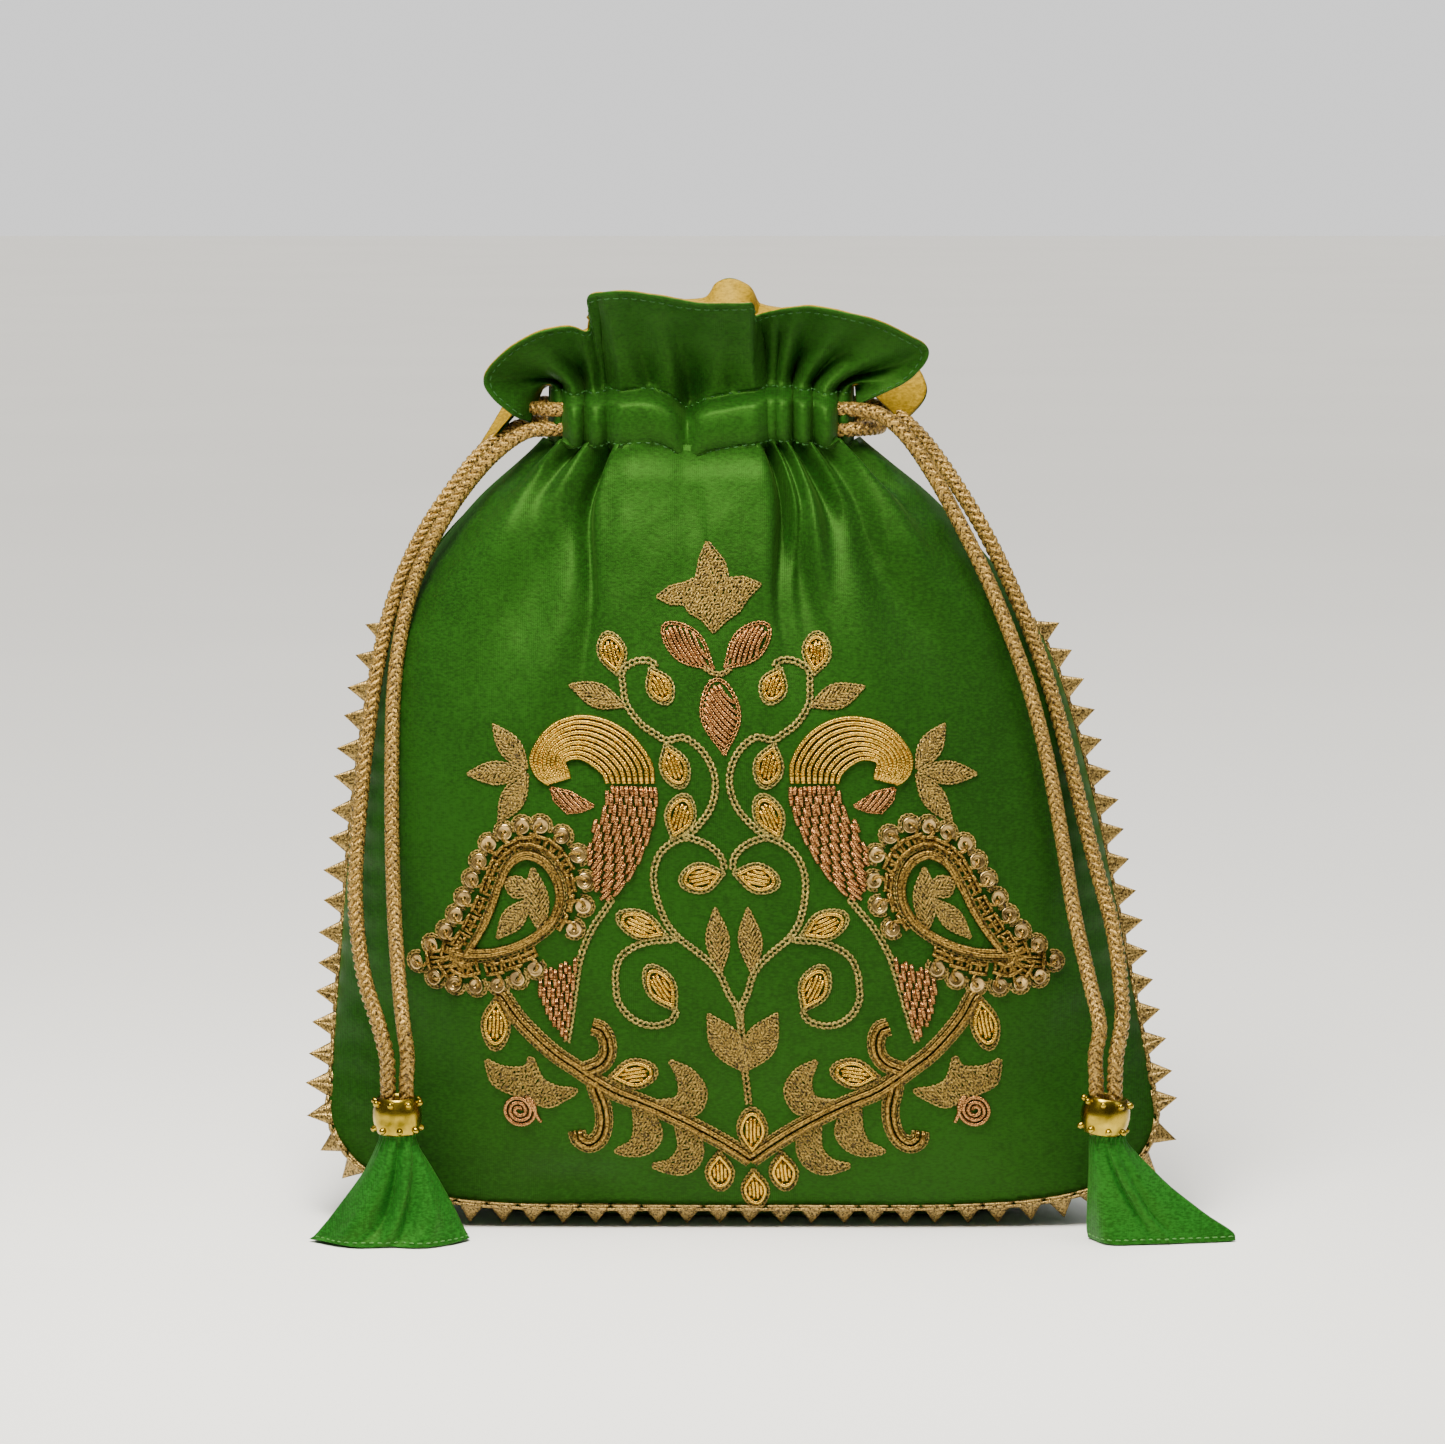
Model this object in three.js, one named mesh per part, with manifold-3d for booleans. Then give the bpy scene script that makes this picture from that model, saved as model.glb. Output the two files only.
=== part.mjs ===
// A fabric gift sack: a gathered satin pouch with a lined cavity, a drawstring channel at its neck,
// two braided drawcords with beads and cloth tassels, a pointed ribbon edging and raised embroidery.
// Millimetres, +Z up, the front faces -Y, and the origin is the middle of the base on the floor.
import * as THREE from "three";
import { mergeVertices } from "three/addons/utils/BufferGeometryUtils.js";
import Module from "manifold-3d";

const wasm = await Module();
wasm.setup();

// ---- Driving dimensions ----
const NECK_Z = 205; // where the body is gathered into the channel
const CORNER_Z = 30; // where the rounded lower corners end
const SEAM_Z = 5; // height of the seam along the front of the base
const SEAM_Y = -34;
const CLOTH = 1.0; // outer cloth with its backing
const LINING = 0.8;
const GAP = 0.4; // between neighbouring cloths
const LEAN_X = 2; // the filled sack leans a little to its right as it rises
const LEAN_RATE = -0.0615;
const NECK_HALF = 41.5;
const NECK_DEPTH = 18.5;
const CHANNEL_HALF = 39;
const CHANNEL_TOP = 219;
const FRILL_Z = CHANNEL_TOP + 0.5;
const CORD_R = 2.2;
const CORD_Y = 14.8; // the cords run this far in front of and behind the mouth
const RUN_Z = { left: 209.6, right: 214.8 }; // heights of the two cords in the channel
const STUB_START = 8; // the sliding part of a cord begins this far from the middle of the channel
const SWING_X = { left: -64, right: 44 }; // where the free part of a cord begins to hang
const BEAD_Y = -49;
const BEAD_X = { left: -89.7, right: 94.5 };
const BEAD_BOTTOM = 28.4;
const BEAD_HEIGHT = 9.4;
const BEAD_R = 6.6;
const BEAD_BORE = 4.9;
const STRAND_HALF = 2.4; // half the distance between the two strands inside a bead
const STRAND_END = BEAD_BOTTOM + 0.3;
const TASSEL_TOP = 26;
const TOOTH_PITCH = 8.2;
const TOOTH_LENGTH = 5;
// The raised work lies this far outside the front cloth; its outlines are drawn a little below their place.
const EMBROIDERY = { low: 0.35, high: 1.25, lift: 3.5 };

const GREEN = 0x2b7d1c;
const GOLD_SATIN = 0xc79a3a;
const GOLD_BRAID = 0xb8935a;
const ZARI = 0xa08a4a;
const GOLD_COIL = 0xd4ad5a;
const COPPER_COIL = 0xb07a62;
const BRASS = 0xcaa53a;

const root = new THREE.Group();
const materials = new Map();

function material(color, roughness, metalness) {
  const key = [color, roughness, metalness].join();
  if (!materials.has(key)) {
    materials.set(key, new THREE.MeshStandardMaterial({ color, roughness, metalness }));
  }
  return materials.get(key);
}

const satin = material(GREEN, 0.45, 0);
const liningSatin = material(GOLD_SATIN, 0.45, 0);
const braid = material(GOLD_BRAID, 0.5, 0.4);
const zari = material(ZARI, 0.6, 0.3);
const goldCoil = material(GOLD_COIL, 0.35, 0.8);
const copperCoil = material(COPPER_COIL, 0.35, 0.8);
const brass = material(BRASS, 0.25, 1);

function addMesh(name, geometry, finish) {
  const mesh = new THREE.Mesh(geometry, finish);
  mesh.name = name;
  root.add(mesh);
  return mesh;
}

// ---- Solids ----
function toSolid(geometry) {
  const bare = (geometry.index ? geometry.toNonIndexed() : geometry).clone();
  bare.deleteAttribute("normal");
  bare.deleteAttribute("uv");
  const merged = mergeVertices(bare, 1e-4);
  return new wasm.Manifold(
    new wasm.Mesh({
      numProp: 3,
      vertProperties: merged.attributes.position.array,
      triVerts: new Uint32Array(merged.index.array),
    }),
  );
}

function toGeometry(solid) {
  const mesh = solid.getMesh();
  const geometry = new THREE.BufferGeometry();
  geometry.setAttribute("position", new THREE.BufferAttribute(mesh.vertProperties, mesh.numProp));
  geometry.setIndex(new THREE.BufferAttribute(mesh.triVerts, 1));
  return geometry;
}

function join(solids) {
  return solids.reduce((whole, next) => whole.add(next));
}

// A closed sheet between two surfaces over one grid; each surface is a function of u and v from 0 to 1.
function sheetBetween(outer, inner, columns, rows) {
  const positions = [];
  const indices = [];
  const at = (layer, i, j) => (layer * (rows + 1) + j) * (columns + 1) + i;
  for (const surface of [outer, inner]) {
    for (let j = 0; j <= rows; j++) {
      for (let i = 0; i <= columns; i++) {
        positions.push(...surface(i / columns, j / rows).toArray());
      }
    }
  }
  const quad = (a, b, c, d) => indices.push(a, b, c, a, c, d);
  for (let j = 0; j < rows; j++) {
    for (let i = 0; i < columns; i++) {
      quad(at(0, i, j), at(0, i + 1, j), at(0, i + 1, j + 1), at(0, i, j + 1));
      quad(at(1, i, j), at(1, i, j + 1), at(1, i + 1, j + 1), at(1, i + 1, j));
    }
  }
  for (let i = 0; i < columns; i++) {
    quad(at(0, i + 1, 0), at(0, i, 0), at(1, i, 0), at(1, i + 1, 0));
    quad(at(0, i, rows), at(0, i + 1, rows), at(1, i + 1, rows), at(1, i, rows));
  }
  for (let j = 0; j < rows; j++) {
    quad(at(0, 0, j), at(0, 0, j + 1), at(1, 0, j + 1), at(1, 0, j));
    quad(at(0, columns, j + 1), at(0, columns, j), at(1, columns, j), at(1, columns, j + 1));
  }
  const geometry = new THREE.BufferGeometry();
  geometry.setAttribute("position", new THREE.Float32BufferAttribute(positions, 3));
  geometry.setIndex(indices);
  return geometry;
}

function facingOut(geometry) {
  if (toSolid(geometry).volume() >= 0) return geometry;
  const index = geometry.index.array;
  for (let i = 0; i < index.length; i += 3) {
    [index[i], index[i + 1]] = [index[i + 1], index[i]];
  }
  return geometry;
}

function circleSection(radius, sides) {
  const section = new THREE.Shape();
  for (let i = 0; i < sides; i++) {
    const angle = (2 * Math.PI * i) / sides;
    if (i === 0) section.moveTo(radius, 0);
    else section.lineTo(radius * Math.cos(angle), radius * Math.sin(angle));
  }
  section.closePath();
  return section;
}

function tubeAlong(points, radius, sides, steps) {
  const path = new THREE.CatmullRomCurve3(points.map((p) => new THREE.Vector3(...p)));
  return new THREE.ExtrudeGeometry(circleSection(radius, sides), { steps, extrudePath: path });
}

function smooth(stations) {
  const places = stations.map((s) => s[0]);
  const values = stations.flatMap((s) => s.slice(1));
  const curve = new THREE.CubicInterpolant(places, values, stations[0].length - 1);
  return (at) => Array.from(curve.evaluate(THREE.MathUtils.clamp(at, places[0], places.at(-1))));
}

// ---- The sack's shape ----
const lean = (z) => LEAN_X + LEAN_RATE * z;
const halfWidthAt = smooth([
  [30, 110], [58, 106.5], [84, 103], [110, 99], [136, 93.5], [152, 88], [165, 80.5],
  [178, 71], [190, 60], [199, 49], [205, NECK_HALF],
]);
const seamDepthAt = smooth([[5, SEAM_Y], [30, -22], [60, -9], [95, -2], [130, 0], [205, 0]]);
// Outline through the middle of each cloth: share of the way up, then depth and height.
// Heights under the floor are pressed flat against it.
const frontProfile = smooth([
  [0, SEAM_Y, SEAM_Z], [0.12, -38.5, 29], [0.3, -41, 65], [0.5, -40, 105], [0.7, -35.5, 145],
  [0.85, -29, 175], [0.95, -22, 195], [1, -NECK_DEPTH, NECK_Z],
]);
const backProfile = smooth([
  [0, SEAM_Y, SEAM_Z], [0.03, -32.5, 1.2], [0.08, -26, -4], [0.16, -10, -6], [0.24, 10, -6],
  [0.32, 26, -4], [0.38, 35, 5], [0.45, 39.5, 20], [0.6, 41, 62], [0.8, 38, 125], [0.92, 29, 172],
  [1, NECK_DEPTH, NECK_Z],
]);
const fullnessAt = smooth([[0, 6], [0.15, 4.2], [0.4, 3.5], [0.85, 3.5], [1, 5]]);

// A point on a cloth: across and up run from 0 to 1, and inset is how far inside the outer face it lies.
function clothPoint(profile, side, inset, across, up) {
  const u = Math.sin((across - 0.5) * Math.PI);
  const sideZ = CORNER_Z + up * (NECK_Z - CORNER_Z);
  const belly = Math.sqrt(Math.max(0, 1 - Math.abs(u) ** fullnessAt(up)[0]));
  const [y, z] = profile(up);
  const [yBefore, zBefore] = profile(Math.max(0, up - 0.01));
  const [yAfter, zAfter] = profile(Math.min(1, up + 0.01));
  const run = Math.hypot(yAfter - yBefore, zAfter - zBefore);
  const turn = side * (inset / run);
  const middleY = y - turn * (zAfter - zBefore);
  const middleZ = z + turn * (yAfter - yBefore);
  const seamY = seamDepthAt(sideZ)[0];
  const outZ = Math.max(0, sideZ + (z - sideZ) * belly);
  const outX = lean(outZ) + (halfWidthAt(sideZ)[0] - inset) * u;
  const outY = seamY + (middleY - seamY) * belly + side * (GAP / 2);
  const lift = (middleZ - z) * belly + (side < 0 ? GAP : 0);
  return new THREE.Vector3(outX, outY, outZ + lift);
}

function cloth(profile, side, inset, thickness, columns, rows) {
  const outer = (u, v) => clothPoint(profile, side, inset, u, v);
  const inner = (u, v) => clothPoint(profile, side, inset + thickness, u, v);
  return facingOut(sheetBetween(outer, inner, columns, rows));
}

const COLUMNS = 16;
const FRONT_ROWS = 11;
const BACK_ROWS = 15;

function addBody() {
  addMesh("front_panel", cloth(frontProfile, -1, 0, CLOTH, COLUMNS, FRONT_ROWS), satin);
  addMesh("back_panel", cloth(backProfile, 1, 0, CLOTH, COLUMNS, BACK_ROWS), satin);
  const inside = CLOTH + GAP;
  addMesh("front_lining", cloth(frontProfile, -1, inside, LINING, COLUMNS, FRONT_ROWS), liningSatin);
  addMesh("back_lining", cloth(backProfile, 1, inside, LINING, COLUMNS, BACK_ROWS), liningSatin);
}

// ---- The drawstring channel: an outer wall and an inner wall, open at both ends ----
function profileAlongX(points, half, centre) {
  const shape = new THREE.Shape(points.map(([y, z]) => new THREE.Vector2(y, z)));
  const geometry = new THREE.ExtrudeGeometry(shape, { depth: 2 * half, bevelEnabled: false });
  geometry.rotateX(Math.PI / 2);
  geometry.rotateZ(Math.PI / 2);
  geometry.translate(centre - half, 0, 0);
  return facingOut(toGeometry(toSolid(geometry)));
}

function addChannel() {
  const bottom = NECK_Z + 0.9;
  const centre = lean(NECK_Z);
  const outerWall = [
    [NECK_DEPTH, bottom], [NECK_DEPTH, CHANNEL_TOP], [NECK_DEPTH - CLOTH, CHANNEL_TOP],
    [NECK_DEPTH - CLOTH, bottom],
  ];
  const hem = NECK_DEPTH - CLOTH - 0.3;
  const bulge = CORD_Y - CORD_R - 0.5;
  const innerWall = [
    [hem, bottom], [hem - 1.4, bottom], [bulge - LINING, bottom + 1.1],
    [bulge - LINING, CHANNEL_TOP - 1.1], [hem - 1.4, CHANNEL_TOP], [hem, CHANNEL_TOP],
    [bulge, CHANNEL_TOP - 1.6], [bulge, bottom + 1.6],
  ];
  for (const [name, side] of [["front", -1], ["back", 1]]) {
    const turned = (points) => points.map(([y, z]) => [side * y, z]);
    const outer = profileAlongX(turned(outerWall), CHANNEL_HALF, centre);
    const inner = profileAlongX(turned(innerWall), CHANNEL_HALF, centre);
    addMesh(name + "_channel", outer, satin);
    addMesh(name + "_channel_lining", inner, liningSatin);
  }
}

// ---- The frill above the channel, one half in front of the mouth and one behind ----
const FRILLS = {
  front: { side: -1, reach: 18, rise: 24, droop: 15, flare: 6, lobe: 7 },
  back: { side: 1, reach: 20, rise: 25, droop: 24.4, flare: 8, lobe: 5 },
};

function frillPoint(frill, inset, across, up) {
  const s = 2 * across - 1;
  const x = lean(NECK_Z) + s * (CHANNEL_HALF + frill.reach * up ** 1.2);
  const lobes = Math.cos(2.5 * Math.PI * s) ** 2;
  const out = NECK_DEPTH - 0.2 - inset + up * (frill.flare + frill.lobe * lobes);
  const z = FRILL_Z + up * (frill.rise - frill.droop * s * s);
  return new THREE.Vector3(x, frill.side * out, z);
}

function addFrills() {
  for (const [name, frill] of Object.entries(FRILLS)) {
    const layer = (inset, thickness) =>
      facingOut(
        sheetBetween(
          (u, v) => frillPoint(frill, inset, u, v),
          (u, v) => frillPoint(frill, inset + thickness, u, v),
          16,
          3,
        ),
      );
    addMesh(name + "_frill", layer(0, CLOTH), satin);
    addMesh(name + "_frill_lining", layer(CLOTH + GAP, LINING), liningSatin);
  }
}

// ---- The pointed ribbon edging along the seam ----
function seamPoint(along) {
  // along runs from -1 at the left shoulder through 0 at the middle of the base to 1 at the right shoulder
  const side = Math.sign(along) || 1;
  const share = Math.abs(along);
  const baseShare = 0.42;
  const topUp = 0.73;
  if (share < baseShare) {
    const across = 0.5 + Math.asin(share / baseShare) / Math.PI * side;
    return clothPoint(frontProfile, -1, 0, across, 0);
  }
  const up = ((share - baseShare) / (1 - baseShare)) * topUp;
  return clothPoint(frontProfile, -1, 0, side < 0 ? 0 : 1, up);
}

function seamStations(count, samples = 400) {
  const points = [];
  for (let i = 0; i <= samples; i++) points.push(seamPoint((2 * i) / samples - 1));
  return new THREE.CatmullRomCurve3(points).getSpacedPoints(count);
}

function addEdging() {
  const length = new THREE.CatmullRomCurve3(seamStations(200)).getLength();
  const teeth = Math.round(length / TOOTH_PITCH);
  const stations = seamStations(2 * teeth);
  const frames = stations.map((p, i) => {
    const before = stations[Math.max(0, i - 1)];
    const after = stations[Math.min(stations.length - 1, i + 1)];
    const tangent = after.clone().sub(before).normalize();
    const out = new THREE.Vector3(tangent.z, 0, -tangent.x);
    out.y = -0.5 * Math.max(0, -out.z);
    out.normalize();
    const through = tangent.clone().cross(out).normalize();
    return { p, out, through };
  });
  const corner = (i, end, face) => {
    const { p, out, through } = frames[i];
    const tip = i % 2 === 1 ? TOOTH_LENGTH - 0.6 : 1.6;
    const reach = end === 0 ? 0.8 : 0.8 + tip;
    return p.clone().addScaledVector(out, reach).addScaledVector(through, face * 0.45);
  };
  const count = stations.length - 1;
  const face = (side) => (u, v) => corner(Math.round(u * count), Math.round(v), side);
  const strip = sheetBetween(face(-1), face(1), count, 1);
  addMesh("ribbon_edging", facingOut(strip), braid);
}

// ---- Drawcords ----
const neckX = lean(NECK_Z);
// Hand-laid routes of the free strands, from the channel's end down to the bead.
const STRANDS = {
  left_front: [
    [-57, -15.5, 208.8], [-64, -15.5, 204], [-71, -14.5, 196.5], [-78, -13.5, 186.5], [-84.5, -13.5, 174],
    [-89, -15.5, 160], [-91.5, -19.5, 143], [-92, -24.5, 123], [-91.8, -29, 102], [-91, -34, 83],
    [-89.6, -41, 68], [-88, -49, 57],
  ],
  left_back: [
    [-56.5, 14, 209.4], [-62.8, 9, 207.2], [-70, 1, 201.5], [-77.5, -6.5, 192], [-85.2, -8.9, 180],
    [-91.8, -10.9, 165], [-96, -15, 148], [-98.8, -20, 128], [-100.8, -25, 107], [-101.5, -30.5, 87],
    [-99, -38.5, 69], [-94.5, -48, 57],
  ],
  right_front: [
    [36.5, -15.5, 213.4], [43, -16, 208], [50, -17, 198], [57, -18, 185.5], [64, -19.6, 171.5],
    [70.5, -22, 156], [76, -24.6, 140], [80.5, -27, 122], [84, -29.6, 103], [87, -34.2, 84],
    [90.5, -41.5, 68], [92.8, -49, 57],
  ],
  right_back: [
    [36.5, 13.5, 213.8], [42.8, 8, 211], [49.5, 0, 204.5], [57, -8, 194], [64.8, -12.8, 181],
    [72, -14.6, 166], [78.5, -15.8, 150], [83.8, -17.8, 133], [88.5, -21, 114], [93, -25.5, 96],
    [97.6, -34, 78], [99, -45, 60],
  ],
};

// A whole strand, from inside the channel to its end inside the bead.
function strandCurve(side, half) {
  const sign = side === "left" ? -1 : 1;
  const z = RUN_Z[side];
  const depth = half === "front" ? -CORD_Y : CORD_Y;
  const inner = half === "front" ? -sign : sign;
  const beadX = (spread) => BEAD_X[side] + inner * (STRAND_HALF + spread);
  const route = [
    [neckX + sign * STUB_START, depth, z],
    [neckX + sign * 20, depth, z],
    [neckX + sign * 32, depth, z],
    [neckX + sign * 40.5, depth, z],
    ...STRANDS[side + "_" + half],
    [beadX(0.3), BEAD_Y, 49],
    [beadX(0), BEAD_Y, 42],
    [beadX(0), BEAD_Y, 35],
    [beadX(0), BEAD_Y, STRAND_END],
  ];
  return new THREE.CatmullRomCurve3(route.map((p) => new THREE.Vector3(...p)));
}

function addStrand(side, half) {
  const points = strandCurve(side, half).getSpacedPoints(400);
  const cut = points.findIndex((p) => Math.abs(p.x) > Math.abs(SWING_X[side]));
  const held = points.slice(0, cut - 1);
  const free = points.slice(cut + 2); // the ends stay clear of each other as the cord swings
  const tube = (part, steps) => {
    const kept = part.filter((p, i) => i % 4 === 0 || i === part.length - 1);
    return tubeAlong(kept.map((p) => p.toArray()), CORD_R, 8, steps);
  };
  addMesh(side + "_cord_" + half + "_stub", tube(held, 9), braid);
  addMesh(side + "_cord_" + half + "_strand", tube(free, 24), braid);
}

// The stretch of a cord that stays in the channel: front run, round the far end, and the back run.
function channelRun(side) {
  const sign = side === "left" ? -1 : 1;
  const z = RUN_Z[side];
  const half = [
    [sign * (STUB_START - 0.5), CORD_Y], [sign * -12, CORD_Y], [sign * -30, CORD_Y],
    [sign * -39.5, CORD_Y], [sign * -44, CORD_Y - 4], [sign * -46.5, CORD_Y - 9.5],
  ];
  const front = half.map(([x, y]) => [neckX + x, -y, z]);
  const back = half.map(([x, y]) => [neckX + x, y, z]).reverse();
  return [...front, [neckX - sign * 47.2, 0, z], ...back];
}

function addCords() {
  for (const side of ["left", "right"]) {
    addMesh(side + "_cord_run", tubeAlong(channelRun(side), CORD_R, 8, 34), braid);
    addStrand(side, "front");
    addStrand(side, "back");
  }
}

// ---- Beads and tassels ----
function beadGeometry() {
  const half = BEAD_HEIGHT / 2;
  const profile = [
    [BEAD_BORE, -half], [BEAD_R - 1.2, -half], [BEAD_R - 0.3, -half * 0.55], [BEAD_R, 0],
    [BEAD_R - 0.3, half * 0.55], [BEAD_R - 1.2, half], [BEAD_BORE, half], [BEAD_BORE, -half],
  ].map(([r, z]) => new THREE.Vector2(r, z));
  const barrel = toSolid(new THREE.LatheGeometry(profile, 16).rotateX(Math.PI / 2));
  const studs = [];
  for (const level of [-1, 1]) {
    for (let i = 0; i < 8; i++) {
      const angle = ((i + (level > 0 ? 0.5 : 0)) / 8) * 2 * Math.PI;
      const stud = new THREE.OctahedronGeometry(1.1, 0);
      const reach = BEAD_R - 0.5;
      stud.translate(reach * Math.cos(angle), reach * Math.sin(angle), level * half * 0.62);
      studs.push(toSolid(stud));
    }
  }
  return toGeometry(join([barrel, ...studs]));
}

// A flattened cloth cone, open at the hem and at the top where the knot sits.
function tasselGeometry(skew) {
  const SIDES = 18;
  const rows = [
    [TASSEL_TOP, 5.2, 4.2], [TASSEL_TOP - 3, 6.2, 4.4], [14, 12, 6.4], [6, 16.8, 8.2], [0, 21, 9.5],
  ];
  const ring = (inset) => rows.map(([z, a, b]) => [z, a - inset, b - inset]);
  const loop = [...ring(0), ...ring(CLOTH).reverse()];
  const positions = [];
  for (const [z, a, b] of loop) {
    const shift = skew * (1 - z / TASSEL_TOP);
    for (let i = 0; i < SIDES; i++) {
      const angle = (2 * Math.PI * i) / SIDES;
      positions.push(shift + a * Math.cos(angle), b * Math.sin(angle), z);
    }
  }
  const indices = [];
  for (let j = 0; j < loop.length; j++) {
    for (let i = 0; i < SIDES; i++) {
      const next = (i + 1) % SIDES;
      const above = ((j + 1) % loop.length) * SIDES;
      const here = j * SIDES;
      indices.push(here + i, above + i, above + next, here + i, above + next, here + next);
    }
  }
  const geometry = new THREE.BufferGeometry();
  geometry.setAttribute("position", new THREE.Float32BufferAttribute(positions, 3));
  geometry.setIndex(indices);
  return facingOut(geometry);
}

function addTassels() {
  for (const side of ["left", "right"]) {
    const bead = addMesh(side + "_bead", beadGeometry(), brass);
    bead.position.set(BEAD_X[side], BEAD_Y, BEAD_BOTTOM + BEAD_HEIGHT / 2);
    const tassel = addMesh(side + "_tassel", tasselGeometry(side === "left" ? -1.5 : 14), satin);
    tassel.position.set(BEAD_X[side] + (side === "left" ? 0 : 1), BEAD_Y, 0.6);
    const knot = addMesh(side + "_cord_knot", new THREE.SphereGeometry(2.6, 10, 6), braid);
    knot.position.set(BEAD_X[side] + (side === "left" ? 0 : 0.8), BEAD_Y, TASSEL_TOP - 0.4);
  }
}

// ---- Embroidery: flat outlines in (distance from the middle line, height), laid on the front cloth ----
function layer() {
  const columns = COLUMNS;
  const surface = (inset) => (u, v) => clothPoint(frontProfile, -1, inset, u, v);
  return toSolid(
    facingOut(sheetBetween(surface(-EMBROIDERY.high), surface(-EMBROIDERY.low), columns, FRONT_ROWS)),
  );
}

function plate(outline) {
  const corners = outline.map(([d, z]) => new THREE.Vector2(d + lean(z), z + EMBROIDERY.lift));
  const shape = new THREE.Shape(corners);
  const geometry = new THREE.ExtrudeGeometry(shape, { depth: 60, bevelEnabled: false });
  geometry.rotateX(Math.PI / 2); // the outline's height becomes Z, and its depth runs towards -Y
  return toSolid(geometry);
}

function curveThrough(points, count) {
  const curve = new THREE.SplineCurve(points.map(([d, z]) => new THREE.Vector2(d, z)));
  return curve.getSpacedPoints(count).map((p) => [p.x, p.y]);
}

function ribbon(points, halfWidth, count) {
  const line = curveThrough(points, count);
  const left = [];
  const right = [];
  line.forEach(([d, z], i) => {
    const [d0, z0] = line[Math.max(0, i - 1)];
    const [d1, z1] = line[Math.min(line.length - 1, i + 1)];
    const length = Math.hypot(d1 - d0, z1 - z0);
    const nd = -(z1 - z0) / length;
    const nz = (d1 - d0) / length;
    left.push([d + nd * halfWidth, z + nz * halfWidth]);
    right.push([d - nd * halfWidth, z - nz * halfWidth]);
  });
  return plate([...left, ...right.reverse()]);
}

// A bud or leaf between a pointed base and an end; roundness 0 is pointed at both ends, 1 has a round end.
function bud(base, end, halfWidth, roundness = 1, count = 4) {
  const [bd, bz] = base;
  const [ed, ez] = end;
  const length = Math.hypot(ed - bd, ez - bz);
  const [ad, az] = [(ed - bd) / length, (ez - bz) / length];
  const side = (sign) =>
    Array.from({ length: count }, (_, i) => {
      const t = (i + 1) / (count + 1);
      const swell = Math.sin(Math.PI * t ** (1 + 0.5 * roundness)) ** (1 - 0.3 * roundness);
      const w = sign * halfWidth * swell;
      return [bd + ad * length * t - az * w, bz + az * length * t + ad * w];
    });
  return plate([[bd, bz], ...side(-1), [ed, ez], ...side(1).reverse()]);
}

const mirrored = (points) => points.map(([d, z]) => [-d, z]);

const VINE = [
  [-16, 146], [-19, 147.5], [-22.5, 145.8], [-24.3, 142], [-24, 138], [-22, 134.5], [-18.5, 130.5],
  [-13.5, 127], [-8.8, 127.2], [-4.6, 124], [-2.4, 119], [-2.3, 113.5], [-4, 108.5], [-8, 104.5],
  [-13.5, 101], [-17.5, 97], [-19.6, 91], [-18.9, 85], [-16.2, 79.5], [-12.3, 75], [-8, 71], [-4.6, 66.5],
  [-2, 60.5],
];
const LOWER_CURL = [
  [-12.6, 75.3], [-19.3, 74.9], [-25.3, 73], [-29.6, 69.5], [-31.3, 64], [-30.3, 58], [-27.3, 54],
  [-22.8, 52.2], [-18.4, 52.8], [-15.8, 55.6],
];
const MIDDLE_CURL = [[-14, 101.2], [-10, 101.8], [-6.2, 100.4], [-3, 97.6], [-1.6, 94]];
const BUDS = [
  [[-24, 142.8], [-27.6, 153.8], 3.2], [[-16.2, 146.5], [-13.2, 137], 3.2], [[-14, 126.6], [-11, 115], 3.2],
  [[-14.6, 100.8], [-9.4, 112], 3.3], [[-1.6, 93.6], [-12, 89.8], 3.3], [[-13.5, 75.8], [-27.6, 83], 3.4],
  [[-15.6, 55.2], [-23.2, 67], 3.3],
];

function vineSolid(turned) {
  const pieces = [
    ribbon(turned(VINE), 0.9, 34),
    ribbon(turned(LOWER_CURL), 0.9, 14),
    ribbon(turned(MIDDLE_CURL), 0.9, 6),
    bud(...turned([[-23, 136.2], [-38.5, 141.2]]), 2.9, 0),
    bud(...turned([[-3.6, 65], [-4.6, 82]]), 2.7, 0),
    ...BUDS.map(([base, end, half]) => bud(...turned([base, end]), half, 1)),
  ];
  return join(pieces);
}

const ARCH_OUTER = [
  [-18.6, 115.6], [-19, 120.5], [-22.8, 126.5], [-29, 130.8], [-36, 132], [-42.6, 130], [-47, 126],
  [-48.9, 120.5], [-47.6, 116.5], [-44.2, 115.2],
];
const ARCH_INNER = [
  [-41, 116.3], [-39.8, 119.5], [-38.6, 121.3], [-36, 121.6], [-33, 120.4], [-30.6, 117.8], [-29.2, 115.6],
];
const NECK = [
  [-29.3, 115.2], [-18.4, 115.2], [-17.2, 112], [-18, 105.5], [-21, 98.5], [-24.6, 92], [-29.5, 86.6],
  [-32.8, 84.8], [-34.6, 89.5], [-36, 95.5], [-35.2, 101], [-33, 106.5], [-31, 111],
];
const TAIL = [[-40.8, 70.3], [-42.2, 61], [-44.7, 48.5], [-49.6, 56], [-51.6, 62.5], [-47.2, 67.6]];
const BEAK = [[-45.3, 113.6], [-41, 112.8], [-37, 111], [-33.8, 109.4], [-38, 108], [-42.6, 109]];
const WING = [
  [-69.5, 69.5], [-63.5, 83], [-58.5, 93], [-53, 97.6], [-47.4, 95.4], [-43.8, 88], [-44.6, 80.5],
  [-49.5, 74.8], [-56.5, 71.6],
];
const WING_LEAF = [
  [-60, 81.5], [-55, 85.2], [-52, 82], [-50.8, 77.5], [-47.3, 82], [-47, 88], [-50, 92.4], [-55.4, 91.6],
  [-58.5, 86.5],
];
const SEQUIN_EDGE = [
  [-84.5, 66.5], [-78, 74.5], [-72, 84], [-67, 95], [-61.5, 103], [-52.5, 106], [-43, 103.5], [-38, 96.5],
  [-36.8, 84], [-41.5, 73.5], [-53, 64.2], [-66, 61.2], [-80, 62.5],
];
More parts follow.
